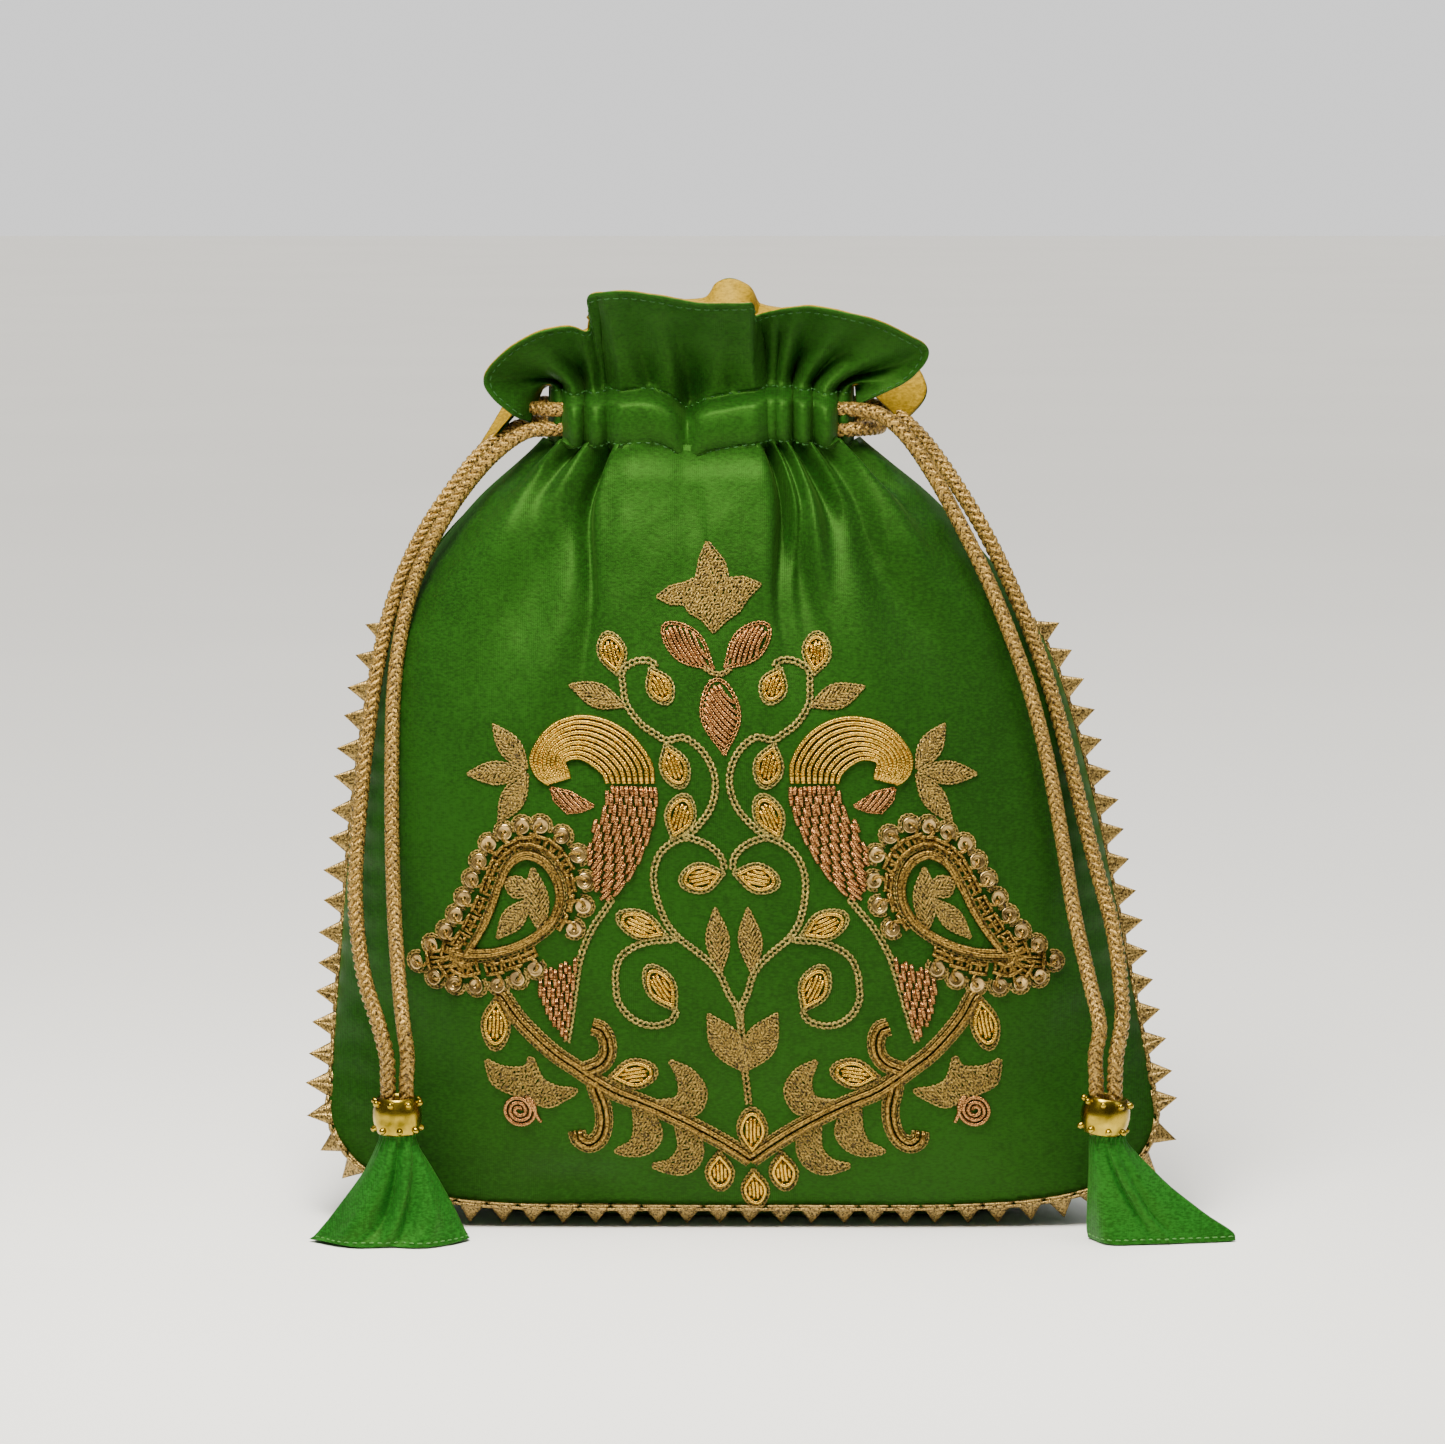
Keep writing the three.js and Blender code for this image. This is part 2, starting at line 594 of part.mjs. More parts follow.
const BRANCH = [
  [-61, 59], [-58.5, 55], [-54, 49.5], [-48.5, 44.5], [-42.5, 40.3], [-36, 36.3], [-29, 32.8], [-21, 28.8],
  [-13, 24.6], [-6, 20.2], [0, 15.6],
];
const UPPER_HOOK = [[-41.5, 39.8], [-37, 42.2], [-34.5, 45.5], [-34.8, 49], [-37, 51], [-39, 49.9]];
const LOWER_HOOK = [[-36.6, 36.5], [-35.7, 31], [-36.4, 25.8], [-38.2, 22], [-41.2, 20.4], [-43.8, 22.2]];
const CRESCENTS = [
  [[-18, 43], [-12.6, 40], [-9.9, 35], [-10.8, 30.4], [-15, 27.4], [-20.6, 29.6], [-16.4, 32], [-15, 36.4]],
  [
    [-28.6, 31.6], [-23.4, 28.8], [-21.6, 23.5], [-24, 18.8], [-28.6, 17.2], [-33.6, 18.2], [-29.6, 21.8],
    [-28, 26],
  ],
  [
    [-17.8, 26], [-12.9, 23.6], [-11.2, 18], [-13.4, 13.6], [-18.4, 12], [-24.4, 13.8], [-19.6, 16.8],
    [-17.5, 20.5],
  ],
];
const BLOSSOM = [
  [-66.6, 42.6], [-60, 40.2], [-54, 43.4], [-50.5, 35.8], [-44, 34.8], [-47, 31.4], [-51.6, 30.5],
  [-56.2, 33.8], [-63.4, 35],
];

function branchSolid() {
  const centre = [...BRANCH, ...mirrored(BRANCH).reverse().slice(1)];
  const pieces = [
    ribbon(centre, 1.5, 40),
    bud([0, 16.6], [0, 30], 3.5, 1),
    bud([0, 14.6], [0, 3.4], 3.1, 1),
  ];
  for (const turned of [(p) => p, mirrored]) {
    pieces.push(
      ribbon(turned(UPPER_HOOK), 1.5, 8),
      ribbon(turned(LOWER_HOOK), 1.5, 8),
      ...CRESCENTS.map((c) => plate(turned(c))),
      bud(...turned([[-34.6, 36.6], [-22.9, 39.8]]), 3.2, 1),
      bud(...turned([[-60.8, 59], [-63.8, 45.4]]), 3.2, 1),
      bud(...turned([[-8, 20], [-8.4, 7.6]]), 3.2, 1),
    );
  }
  return join(pieces);
}

// An outline made larger or smaller about a point.
function resized(outline, [atD, atZ], shareD, shareZ = shareD) {
  return outline.map(([d, z]) => [atD + (d - atD) * shareD, atZ + (z - atZ) * shareZ]);
}

const lowered = (outline, by) => outline.map(([d, z]) => [d, z - by]);

function addCentre(lay) {
  const finial = [
    [0, 177.2], [2.4, 174], [3.8, 168.5], [8.5, 167], [13.2, 165.4], [9, 162.4], [4.6, 158.8], [0, 155],
  ];
  lay("finial", plate([...finial, ...mirrored(finial).reverse().slice(1, -1)]), zari);
  lay("copper_petal_left", bud([-0.9, 145.3], [-12.6, 156], 3.7, 0.8), copperCoil);
  lay("copper_petal_right", bud([0.9, 145.3], [13.4, 156.6], 3.7, 0.8), copperCoil);
  lay("copper_petal_lower", bud([0.8, 123.5], [0.3, 141.6], 4.3, 0.8), copperCoil);
  const sprig = join([
    ribbon([[0, 32], [0, 40], [0, 50], [0, 58.4]], 0.9, 8),
    bud([0, 39.5], [-9, 54.6], 3.2, 0),
    bud([0, 39.5], [9, 54.6], 3.2, 0),
  ]);
  lay("sprig", sprig, zari);
  lay("branch", branchSolid(), goldCoil);
}

function addWing(lay, side, turned) {
  const middle = [-54, 84.5];
  const wing = plate(turned(WING));
  lay("wing_cord_" + side, wing.subtract(plate(turned(resized(WING, middle, 0.78)))), goldCoil);
  lay("wing_leaf_" + side, plate(turned(resized(WING_LEAF, middle, 0.86))), zari);
  const hollow = plate(turned(resized(WING, middle, 1.04)));
  const roomForNeck = plate(turned(resized(lowered(NECK, 0.3), [-28, 0], 1.06, 1)));
  const roomForTail = plate(turned(resized(TAIL, [-46, 60], 1.12, 1.06)));
  const border = plate(turned(SEQUIN_EDGE)).subtract(hollow).subtract(roomForNeck);
  lay("sequin_border_" + side, border.subtract(roomForTail), goldCoil);
}

function addBird(lay, side, turned) {
  lay("bird_head_" + side, plate(turned([...ARCH_OUTER, ...ARCH_INNER])), goldCoil);
  lay("bird_neck_" + side, plate(turned(lowered(NECK, 0.3))), copperCoil);
  lay("bird_tail_" + side, plate(turned(TAIL)), copperCoil);
  lay("beak_" + side, plate(turned(lowered(BEAK, 0.6))), copperCoil);
  const tips = [[-58.8, 129], [-65.4, 117.4], [-59.2, 106]];
  const leaves = tips.map((tip) => bud(...turned([[-49.6, 118.4], tip]), 2.5, 0));
  const node = bud(...turned([[-48.9, 118.4], [-52.2, 118.4]]), 1, 0);
  lay("crest_" + side, join([...leaves, node]), zari);
  addWing(lay, side, turned);
}

function addEmbroidery() {
  const skin = layer();
  const lay = (name, solid, finish) => addMesh(name, toGeometry(solid.intersect(skin)), finish);
  addCentre(lay);
  for (const [side, turned] of [["left", (p) => p], ["right", mirrored]]) {
    lay("vine_" + side, vineSolid(turned), zari);
    addBird(lay, side, turned);
    lay("blossom_" + side, plate(turned(BLOSSOM)), zari);
    const rose = Array.from({ length: 12 }, (_, i) => {
      const angle = (2 * Math.PI * i) / 12;
      return [-58.8 + 3.6 * Math.cos(angle), 29.2 + 3.6 * Math.sin(angle)];
    });
    lay("rose_" + side, plate(turned(rose)), copperCoil);
  }
}

addBody();
addChannel();
addFrills();
addEdging();
addCords();
addTassels();
addEmbroidery();

export default root;
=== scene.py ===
"""A gathered satin gift pouch with a gold lining, braided drawcords, picot edging and raised embroidery.

Shapes are worked out in millimetres with numpy and turned to metres when a mesh is made. The front faces -Y.
"""

import math

import bpy
import numpy as np
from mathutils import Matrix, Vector
from mathutils.bvhtree import BVHTree


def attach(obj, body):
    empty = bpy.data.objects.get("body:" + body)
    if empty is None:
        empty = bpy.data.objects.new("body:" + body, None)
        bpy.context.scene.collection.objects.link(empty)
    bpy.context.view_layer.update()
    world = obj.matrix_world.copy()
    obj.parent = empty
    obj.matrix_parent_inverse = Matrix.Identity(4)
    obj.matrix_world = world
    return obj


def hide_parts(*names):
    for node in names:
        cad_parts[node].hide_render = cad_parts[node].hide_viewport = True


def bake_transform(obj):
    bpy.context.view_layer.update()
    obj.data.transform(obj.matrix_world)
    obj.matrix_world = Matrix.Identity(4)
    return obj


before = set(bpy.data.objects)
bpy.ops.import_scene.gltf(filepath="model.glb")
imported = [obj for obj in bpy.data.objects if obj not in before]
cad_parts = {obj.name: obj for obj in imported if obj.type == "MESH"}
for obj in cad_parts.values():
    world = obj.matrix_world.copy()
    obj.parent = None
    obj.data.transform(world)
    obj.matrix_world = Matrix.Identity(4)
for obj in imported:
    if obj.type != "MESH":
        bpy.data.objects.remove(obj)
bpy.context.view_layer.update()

MM = 0.001
rng = np.random.default_rng(7)


# ---- Materials ----
def linear(colour):
    """A colour such as "#2b7d1c" as linear red, green, blue and alpha."""
    parts = [int(colour[i : i + 2], 16) / 255 for i in (1, 3, 5)]
    return (*[c / 12.92 if c <= 0.04045 else ((c + 0.055) / 1.055) ** 2.4 for c in parts], 1.0)


def add_node(tree, kind, sockets=None, **settings):
    """A new node with its settings; sockets gives each input a value, or another node's output to link."""
    made = tree.nodes.new(kind)
    for name, value in settings.items():
        setattr(made, name, value)
    for name, value in (sockets or {}).items():
        if isinstance(value, bpy.types.NodeSocket):
            tree.links.new(value, made.inputs[name])
        else:
            made.inputs[name].default_value = value
    return made


def new_material(name, **shader):
    """An empty material with its shader's even values set; returns the material, its tree and its shader."""
    made = bpy.data.materials.new(name)
    made.use_nodes = True
    tree = made.node_tree
    gloss = tree.nodes["Principled BSDF"]
    for socket, value in shader.items():
        gloss.inputs[socket.replace("_", " ")].default_value = value
    return made, tree, gloss


def place(tree, scale):
    """Object coordinates, stretched by scale along each axis."""
    where = add_node(tree, "ShaderNodeTexCoord")
    return add_node(tree, "ShaderNodeMapping", {"Vector": where.outputs["Object"], "Scale": scale}).outputs[0]


def two_tone(tree, factor, dark, light, low=0.3, high=0.7):
    """A colour that goes from dark to light as factor goes from low to high."""
    ramp = add_node(tree, "ShaderNodeValToRGB", {"Fac": factor})
    ramp.color_ramp.elements[0].position, ramp.color_ramp.elements[0].color = low, linear(dark)
    ramp.color_ramp.elements[1].position, ramp.color_ramp.elements[1].color = high, linear(light)
    return ramp.outputs[0]


def raise_by(tree, shader, height, distance, strength=1.0):
    """Bumps the surface by height, distance millimetres high."""
    sockets = {"Height": height, "Distance": distance * MM, "Strength": strength}
    bump = add_node(tree, "ShaderNodeBump", sockets)
    tree.links.new(bump.outputs[0], shader.inputs["Normal"])


def band_scale(pitch):
    """The scale at which a band texture repeats every pitch millimetres."""
    return math.pi / 10 / (pitch * MM)


def satin(name, dark, light, sheen):
    """Satin-weave polyester: floats of filament give it a soft broad gloss; the ground threads, some
    thicker than others, show as fine level slubs. Real threads are 0.15 mm apart; they are drawn at 0.5 mm
    so that they show."""
    made, tree, gloss = new_material(
        name, Roughness=0.56, Sheen_Weight=0.05, Sheen_Roughness=0.4, Sheen_Tint=linear(sheen),
        Specular_IOR_Level=0.5, IOR=1.5, Specular_Tint=linear(sheen), Anisotropic=0.3,
    )
    drift = add_node(
        tree, "ShaderNodeTexNoise", {"Vector": place(tree, (1, 1, 1)), "Scale": 24, "Detail": 3}
    )
    slub = add_node(
        tree, "ShaderNodeTexNoise", {"Vector": place(tree, (900, 900, 2000)), "Scale": 1, "Detail": 3}
    )
    mixed = add_node(tree, "ShaderNodeMix", {"Factor": 0.72, "A": drift.outputs[0], "B": slub.outputs[0]})
    tree.links.new(two_tone(tree, mixed.outputs[0], dark, light, 0.4, 0.6), gloss.inputs["Base Color"])
    warp = add_node(
        tree, "ShaderNodeTexWave",
        {"Vector": place(tree, (1, 0.4, 0)), "Scale": band_scale(0.5), "Distortion": 0.6, "Detail": 1},
    )
    weave = add_node(
        tree, "ShaderNodeMath", {0: warp.outputs["Fac"], 1: 0.35, 2: slub.outputs[0]},
        operation="MULTIPLY_ADD",
    )
    rumple = add_node(
        tree, "ShaderNodeTexNoise", {"Vector": place(tree, (1, 1, 1)), "Scale": 120, "Detail": 5}
    )
    relief = add_node(
        tree, "ShaderNodeMath", {0: weave.outputs[0], 1: 0.14, 2: rumple.outputs[0]},
        operation="MULTIPLY_ADD",
    )
    raise_by(tree, gloss, relief.outputs[0], 0.7, 0.5)
    return made


def wound_thread(name, dark, light, metallic, roughness, pitch, low=0.36, high=0.6):
    """Thread or wire wound in fine turns, pitch millimetres apart. Where it is metal it glitters in short
    bright dashes along the turns; plain sewing thread has the same turns without the metal."""
    made, tree, gloss = new_material(name, Metallic=metallic, Roughness=roughness)
    grain = add_node(
        tree, "ShaderNodeTexNoise", {"Vector": place(tree, (1, 1, 1)), "Scale": 1900, "Detail": 2}
    )
    tree.links.new(two_tone(tree, grain.outputs[0], dark, light, low, high), gloss.inputs["Base Color"])
    turns = add_node(
        tree, "ShaderNodeTexWave",
        {"Vector": place(tree, (1, 0.3, 0.8)), "Scale": band_scale(pitch), "Distortion": 2.5, "Detail": 2},
    )
    raise_by(tree, gloss, turns.outputs["Fac"], 0.1, 0.6)
    return made


def cast_brass(name, dark, light):
    """Plated cast bead, bright where it is rubbed and darker in the hollows between its studs; here its tone
    and a slight bump vary at random over it.
    """
    made, tree, gloss = new_material(name, Metallic=1.0, Roughness=0.24)
    tone = add_node(
        tree, "ShaderNodeTexNoise", {"Vector": place(tree, (1, 1, 1)), "Scale": 260, "Detail": 4}
    )
    tree.links.new(two_tone(tree, tone.outputs[0], dark, light), gloss.inputs["Base Color"])
    raise_by(tree, gloss, tone.outputs[0], 0.12, 0.35)
    return made


def plated_plastic(name, dark, light):
    """Sequins: thin plastic film with a vacuum-plated gold face, glossy and slightly rippled."""
    made, tree, gloss = new_material(
        name, Metallic=0.85, Roughness=0.22, Coat_Weight=0.5, Coat_Roughness=0.08
    )
    tone = add_node(
        tree, "ShaderNodeTexNoise", {"Vector": place(tree, (1, 1, 1)), "Scale": 330, "Detail": 2}
    )
    tree.links.new(two_tone(tree, tone.outputs[0], dark, light), gloss.inputs["Base Color"])
    raise_by(tree, gloss, tone.outputs[0], 0.2, 0.4)
    return made


def paper(name):
    """Matt background paper, a roll wide enough to have no edge in view."""
    made, tree, gloss = new_material(name, Roughness=0.9, Specular_IOR_Level=0.1)
    tone = add_node(tree, "ShaderNodeTexNoise", {"Vector": place(tree, (1, 1, 1)), "Scale": 3, "Detail": 2})
    tree.links.new(two_tone(tree, tone.outputs[0], "#f2f2f0", "#f5f5f3"), gloss.inputs["Base Color"])
    return made


SATIN_GREEN = satin("green_satin", "#0a2607", "#143b0c", "#90dc58")
TASSEL_SATIN = satin("tassel_green_satin", "#0e3c0e", "#1d5c1a", "#90dc58")
LINING_GOLD = satin("gold_lining_satin", "#6a5206", "#8e7212", "#e4cc7c")
SEWING_GREEN = wound_thread("green_sewing_thread", "#14400c", "#205c12", 0.0, 0.55, 0.3)
SEWING_LIGHT = wound_thread("light_green_sewing_thread", "#2c6a1c", "#4a8a34", 0.0, 0.5, 0.3)
RIBBON_GOLD = wound_thread("gold_picot_ribbon", "#382a0c", "#ae9050", 0.75, 0.36, 0.45)
BRAID_GOLD = wound_thread("gold_braid_yarn", "#33240a", "#b49044", 0.55, 0.4, 0.35)
ZARI_THREAD = wound_thread("zari_chain_thread", "#32260a", "#a98c40", 0.5, 0.44, 0.3)
VINE_THREAD = wound_thread("zari_outline_thread", "#3c3410", "#aa984a", 0.45, 0.46, 0.3)
COIL_GOLD = wound_thread("gold_coil_wire", "#6c4e0c", "#d8ae42", 0.95, 0.25, 0.3, 0.3, 0.56)
COIL_ANTIQUE = wound_thread("antique_coil_wire", "#291c09", "#a5833c", 0.95, 0.28, 0.3, 0.34, 0.6)
COIL_COPPER = wound_thread("copper_coil_wire", "#46280e", "#b8844e", 0.95, 0.27, 0.3, 0.28, 0.56)
SEQUIN_FILM = plated_plastic("sequin_film", "#5e481a", "#c6a460")
BEAD_BRASS = cast_brass("bead_plating", "#665610", "#c0a436")


# ---- Mesh helpers ----
def add_mesh(name, points, faces, finish, body, slot, smooth=True):
    """A mesh piece from points in millimetres. It rides on a body unless body is None."""
    data = bpy.data.meshes.new(name)
    data.from_pydata((np.asarray(points, float) * MM).tolist(), [], [list(map(int, f)) for f in faces])
    data.update()
    if smooth:
        data.shade_smooth()
    made = bpy.data.objects.new(name, data)
    bpy.context.scene.collection.objects.link(made)
    made.data.materials.append(finish)
    if body:
        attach(made, body)
    return made


def grid_faces(columns, rows, offset=0, flip=False, wrap=False):
    """Quads over a grid stored row after row, each row holding columns points; wrap closes each row."""
    i, j = np.meshgrid(np.arange(columns if wrap else columns - 1), np.arange(rows - 1))
    a = (j * columns + i).ravel()
    b = (j * columns + (i + 1) % columns).ravel()
    quads = np.stack([a, b, b + columns, a + columns], 1) + offset
    return quads[:, ::-1] if flip else quads


def slab(outer, inner):
    """Points and faces of a closed sheet between two grids of points, each rows x columns x 3."""
    rows, columns, _ = outer.shape
    count = rows * columns
    rim = np.concatenate([
        np.arange(columns), np.arange(1, rows) * columns + columns - 1,
        (rows - 1) * columns + np.arange(columns - 2, -1, -1), np.arange(rows - 2, 0, -1) * columns,
    ])
    ahead = np.roll(rim, -1)
    edge = np.stack([ahead, rim, rim + count, ahead + count], 1)
    faces = np.concatenate([grid_faces(columns, rows), grid_faces(columns, rows, count, flip=True), edge])
    return np.concatenate([outer.reshape(-1, 3), inner.reshape(-1, 3)]), faces


def closing_faces(columns, rows):
    """Quads that join the last row of a wrapped grid to its first row."""
    i = np.arange(columns)
    ahead, last = (i + 1) % columns, (rows - 1) * columns
    return np.stack([last + i, last + ahead, ahead, i], 1).tolist()


def unit(v):
    """The same directions, each one long."""
    return v / np.maximum(np.linalg.norm(v, axis=-1, keepdims=True), 1e-9)


def grid_normals(points):
    """The direction across a grid of points, at each point."""
    along = np.gradient(points, axis=1)
    up = np.gradient(points, axis=0)
    return unit(np.cross(along, up))


def through(controls, steps=24):
    """A smooth curve through controls, as many points for each stretch as steps says."""
    c = np.asarray(controls, float)
    c = np.vstack([2 * c[0] - c[1], c, 2 * c[-1] - c[-2]])
    t = np.linspace(0, 1, steps, endpoint=False)[:, None]
    parts = []
    for a, b, d, e in zip(c, c[1:], c[2:], c[3:]):
        parts.append(
            0.5 * (2 * b + (d - a) * t + (2 * a - 5 * b + 4 * d - e) * t**2 + (3 * b - a - 3 * d + e) * t**3)
        )
    return np.vstack([*parts, c[-2:-1]])


def stations(table, at):
    """A smooth reading, at each place in at, of a table whose rows start with their place."""
    curve = through(table, 16)
    places = np.maximum.accumulate(curve[:, 0])
    return np.stack([np.interp(at, places, curve[:, k]) for k in range(1, curve.shape[1])], -1)


def length_of(path):
    return np.linalg.norm(np.diff(path, axis=0), axis=1).sum()


def evenly(path, step):
    """The path again, with points step millimetres apart or a little less."""
    lengths = np.concatenate([[0], np.cumsum(np.linalg.norm(np.diff(path, axis=0), axis=1))])
    count = max(2, int(math.ceil(lengths[-1] / step)) + 1)
    at = np.linspace(0, lengths[-1], count)
    return np.stack([np.interp(at, lengths, path[:, k]) for k in range(path.shape[1])], 1)


def soft_step(low, high, x):
    """0 below low and 1 above high, with a smooth change between them."""
    t = np.clip((x - low) / (high - low), 0, 1)
    return t * t * (3 - 2 * t)


def ripples(x, z, seed, size, octaves=3):
    """Smooth unevenness between about -1 and 1 over a plane, with features of the given size."""
    draw = np.random.default_rng(seed)
    total = np.zeros_like(x, dtype=float)
    for octave in range(octaves):
        for _ in range(5):
            angle, phase = draw.uniform(0, 2 * math.pi, 2)
            k = 2 * math.pi / (size / 1.9**octave) * draw.uniform(0.7, 1.3)
            total += np.sin(k * (x * math.cos(angle) + z * math.sin(angle)) + phase) / 1.9**octave
    return total / 5


# ---- The sack's cloth ----
NECK_Z, SEAM_Z, CORNER_Z = 205.0, 5.0, 30.0
NECK_HALF, HEADER_HALF, NECK_DEPTH = 41.5, 39.8, 18.5
HALF_WIDTH = [
    (30, 110), (58, 106.5), (84, 103), (110, 99), (136, 93.5), (152, 88), (165, 80.5), (178, 71), (190, 60),
    (199, 49), (205, NECK_HALF),
]
SEAM_DEPTH = [(5, -34), (30, -22), (60, -9), (95, -2), (130, 0), (205, 0)]
FRONT_PROFILE = [
    (0, -34, 5), (0.12, -38.5, 29), (0.3, -41, 65), (0.5, -40, 105), (0.7, -35.5, 145), (0.85, -29, 175),
    (0.95, -22, 195), (1, -NECK_DEPTH, NECK_Z),
]
BACK_PROFILE = [
    (0, -34, 5), (0.03, -31.5, 4.2), (0.08, -25, 2.2), (0.16, -10, -4), (0.24, 10, -6), (0.32, 26, -4),
    (0.38, 35, 5), (0.45, 39.5, 20), (0.6, 41, 62), (0.8, 38, 125), (0.92, 29, 172), (1, NECK_DEPTH, NECK_Z),
]
FULLNESS = [(0, 6), (0.15, 4.2), (0.4, 3.5), (0.85, 3.5), (1, 5)]


def lean(z):
    """The sack leans to its right as it rises: where its middle line is at height z."""
    return 2 - 0.0615 * z


NECK_X = lean(NECK_Z)


def body_point(profile, side, u, up):
    """A point of the filled body: u from -1 to 1 across, up from 0 to 1 from the base seam to the neck."""
    side_z = CORNER_Z + up * (NECK_Z - CORNER_Z)
    belly = np.sqrt(np.clip(1 - np.abs(u) ** stations(FULLNESS, up)[..., 0], 0, 1))
    y, z = np.moveaxis(stations(profile, up), -1, 0)
    seam_y = stations(SEAM_DEPTH, side_z)[..., 0]
    out_z = np.maximum(0, side_z + (z - side_z) * belly)
    out_y = seam_y + (y - seam_y) * belly + side * 0.2
    out_x = lean(out_z) + stations(HALF_WIDTH, side_z)[..., 0] * u
    return np.stack([out_x, out_y, out_z + 0.4 * (side < 0)], -1)


# Pleats at the neck: place along it, how far the cloth stands out there, how far down the pleat reaches.
FRONT_PLEATS = [
    (-51, 0, 180), (-49, 2.4, 180), (-47.2, 0.2, 178), (-44, 3.4, 170), (-41.4, -1.2, 168),
    (-38.6, 2.2, 162), (-36, 0.2, 150), (-33.6, -5.4, 132), (-32.2, 2.6, 138), (-29, 3.4, 150),
    (-20, 3.2, 170), (-14.4, 2.6, 184), (-9, 3, 170), (0, 3.4, 160), (4, 3.2, 145), (5.5, -5.0, 140),
    (7.6, 1.6, 146), (8.8, -1.6, 158), (10.8, 2.6, 150), (13, -3.2, 132), (16, 2.8, 146), (18.6, -0.6, 150),
    (22.4, 3.4, 150), (25, -1.6, 160), (27.6, 2.4, 172), (30.2, 0, 180),
]
BACK_PLEATS = [
    (-51, 0, 180), (-47, 2.4, 165), (-43, -1.4, 150), (-39, 2.6, 155), (-34.5, -2.2, 140), (-29, 3, 150),
    (-24, -1, 165), (-20, 2.4, 160), (-15, -2.6, 138), (-10, 2.8, 150), (-4.5, -1.6, 160), (0, 2.6, 150),
    (5, -2.8, 140), (10, 2.8, 155), (15, -1.8, 145), (20, 2.4, 160), (25, -0.8, 170), (30.2, 0, 180),
]
# The free edge of each frill: place along the neck, then where the rim stands.
FRONT_RIM = [
    (-50.5, -55, -12, 211), (-49.6, -60, -17, 213.5), (-48, -67.2, -20, 221.5), (-45.6, -63.5, -24, 228.5),
    (-43, -54.5, -27, 234.6), (-40.5, -45.5, -26, 236.8), (-38.2, -40.4, -22, 235.4),
    (-37, -39.4, -23, 238), (-35.8, -40.2, -31, 244.4), (-32, -36, -33.5, 246), (-26, -30.5, -34.5, 246.2),
    (-18, -21.5, -33.6, 245), (-8, -10.8, -33, 243.2), (0, 0, -32.6, 243), (2.4, 3, -31, 243),
    (3.6, 3.4, -25, 239.5), (5, 4.2, -22, 239.6), (8, 9, -24.5, 241), (12, 17.5, -27.5, 242),
    (16.5, 30, -28, 239.8), (20.5, 40, -25, 236), (24, 48.5, -20.5, 230.5), (26.6, 44.5, -17, 223.5),
    (28.3, 36.5, -15, 219), (29.2, 30, -13, 216),
]
BACK_RIM = [
    (-50.5, -75, 5, 194), (-48.6, -70, 11, 202.5), (-46.8, -64, 16, 213), (-44, -60.5, 21, 221.5),
    (-40, -51, 25, 229), (-34, -40, 29, 234), (-27, -30, 24, 238), (-20, -20, 28, 241),
    (-12.5, -9.5, 25, 242.2), (-10.2, -5.8, 22, 246.8), (-7.4, -2.4, 21.5, 247.6), (-4.6, 1.8, 22.5, 245.4),
    (-2.6, 3.8, 25, 241.6), (0, 5.2, 26, 240.6), (6, 12, 28, 239), (12, 21.5, 26, 239.5),
    (17.5, 31.5, 27, 235), (22, 41.5, 24, 229), (25.5, 47.8, 18, 223), (27.8, 49.3, 13, 216.5),
    (29.2, 43, 10.5, 209.5),
]
# Deep folds in the frill just above the channel: place along the neck, width, depth.
FRONT_VALLEYS = [
    (-47, 2.0, 4.5), (-42, 1.4, 4.0), (-37.5, 1.2, 4.5), (-24.5, 2.3, 6.5), (-12, 2.8, 8.0), (-2.5, 1.5, 3.0),
    (6, 1.5, 5.5), (11.5, 1.6, 4.5), (17, 2.2, 5.5), (23.5, 1.8, 4.5),
]
BACK_VALLEYS = [(-43, 2, 4), (-32, 2.4, 5), (-21, 2, 5), (-12, 2, 4), (-2, 2.4, 5), (9, 2, 4.5), (19, 2.2, 5)]
CHANNEL_LOW, CHANNEL_HIGH = 206.6, 220.4  # the two rows of stitches that make the cord channel


def header_base(side, q, pleat, z):
    """The gathered band round the neck: bulged by the cords, drawn in along its two rows of stitches."""
    u = (q - NECK_X) / HEADER_HALF
    depth = 19.6 * (1 - np.abs(u) ** 7) ** 0.3 * (1 - 0.06 * u**2)
    t = np.clip((z - CHANNEL_LOW) / (CHANNEL_HIGH - CHANNEL_LOW), 0, 1)
    bulge = 2.6 * np.sin(math.pi * t**0.85) - 5.8 * soft_step(0.74, 1, t) * (1 - u**4)
    stand = np.where(pleat > 0, pleat, 0.55 * pleat)
    depth = np.maximum(depth, 7.5) + bulge + 1.05 * stand - 1.4
    depth = depth + 1.4 * ripples(q + 0.5 * z, z, 33, 19, 1) * np.sin(math.pi * t) * (1 - u**4)
    sway = -0.35 * np.gradient(pleat, q)
    return np.stack([q + sway, side * depth, z], -1)


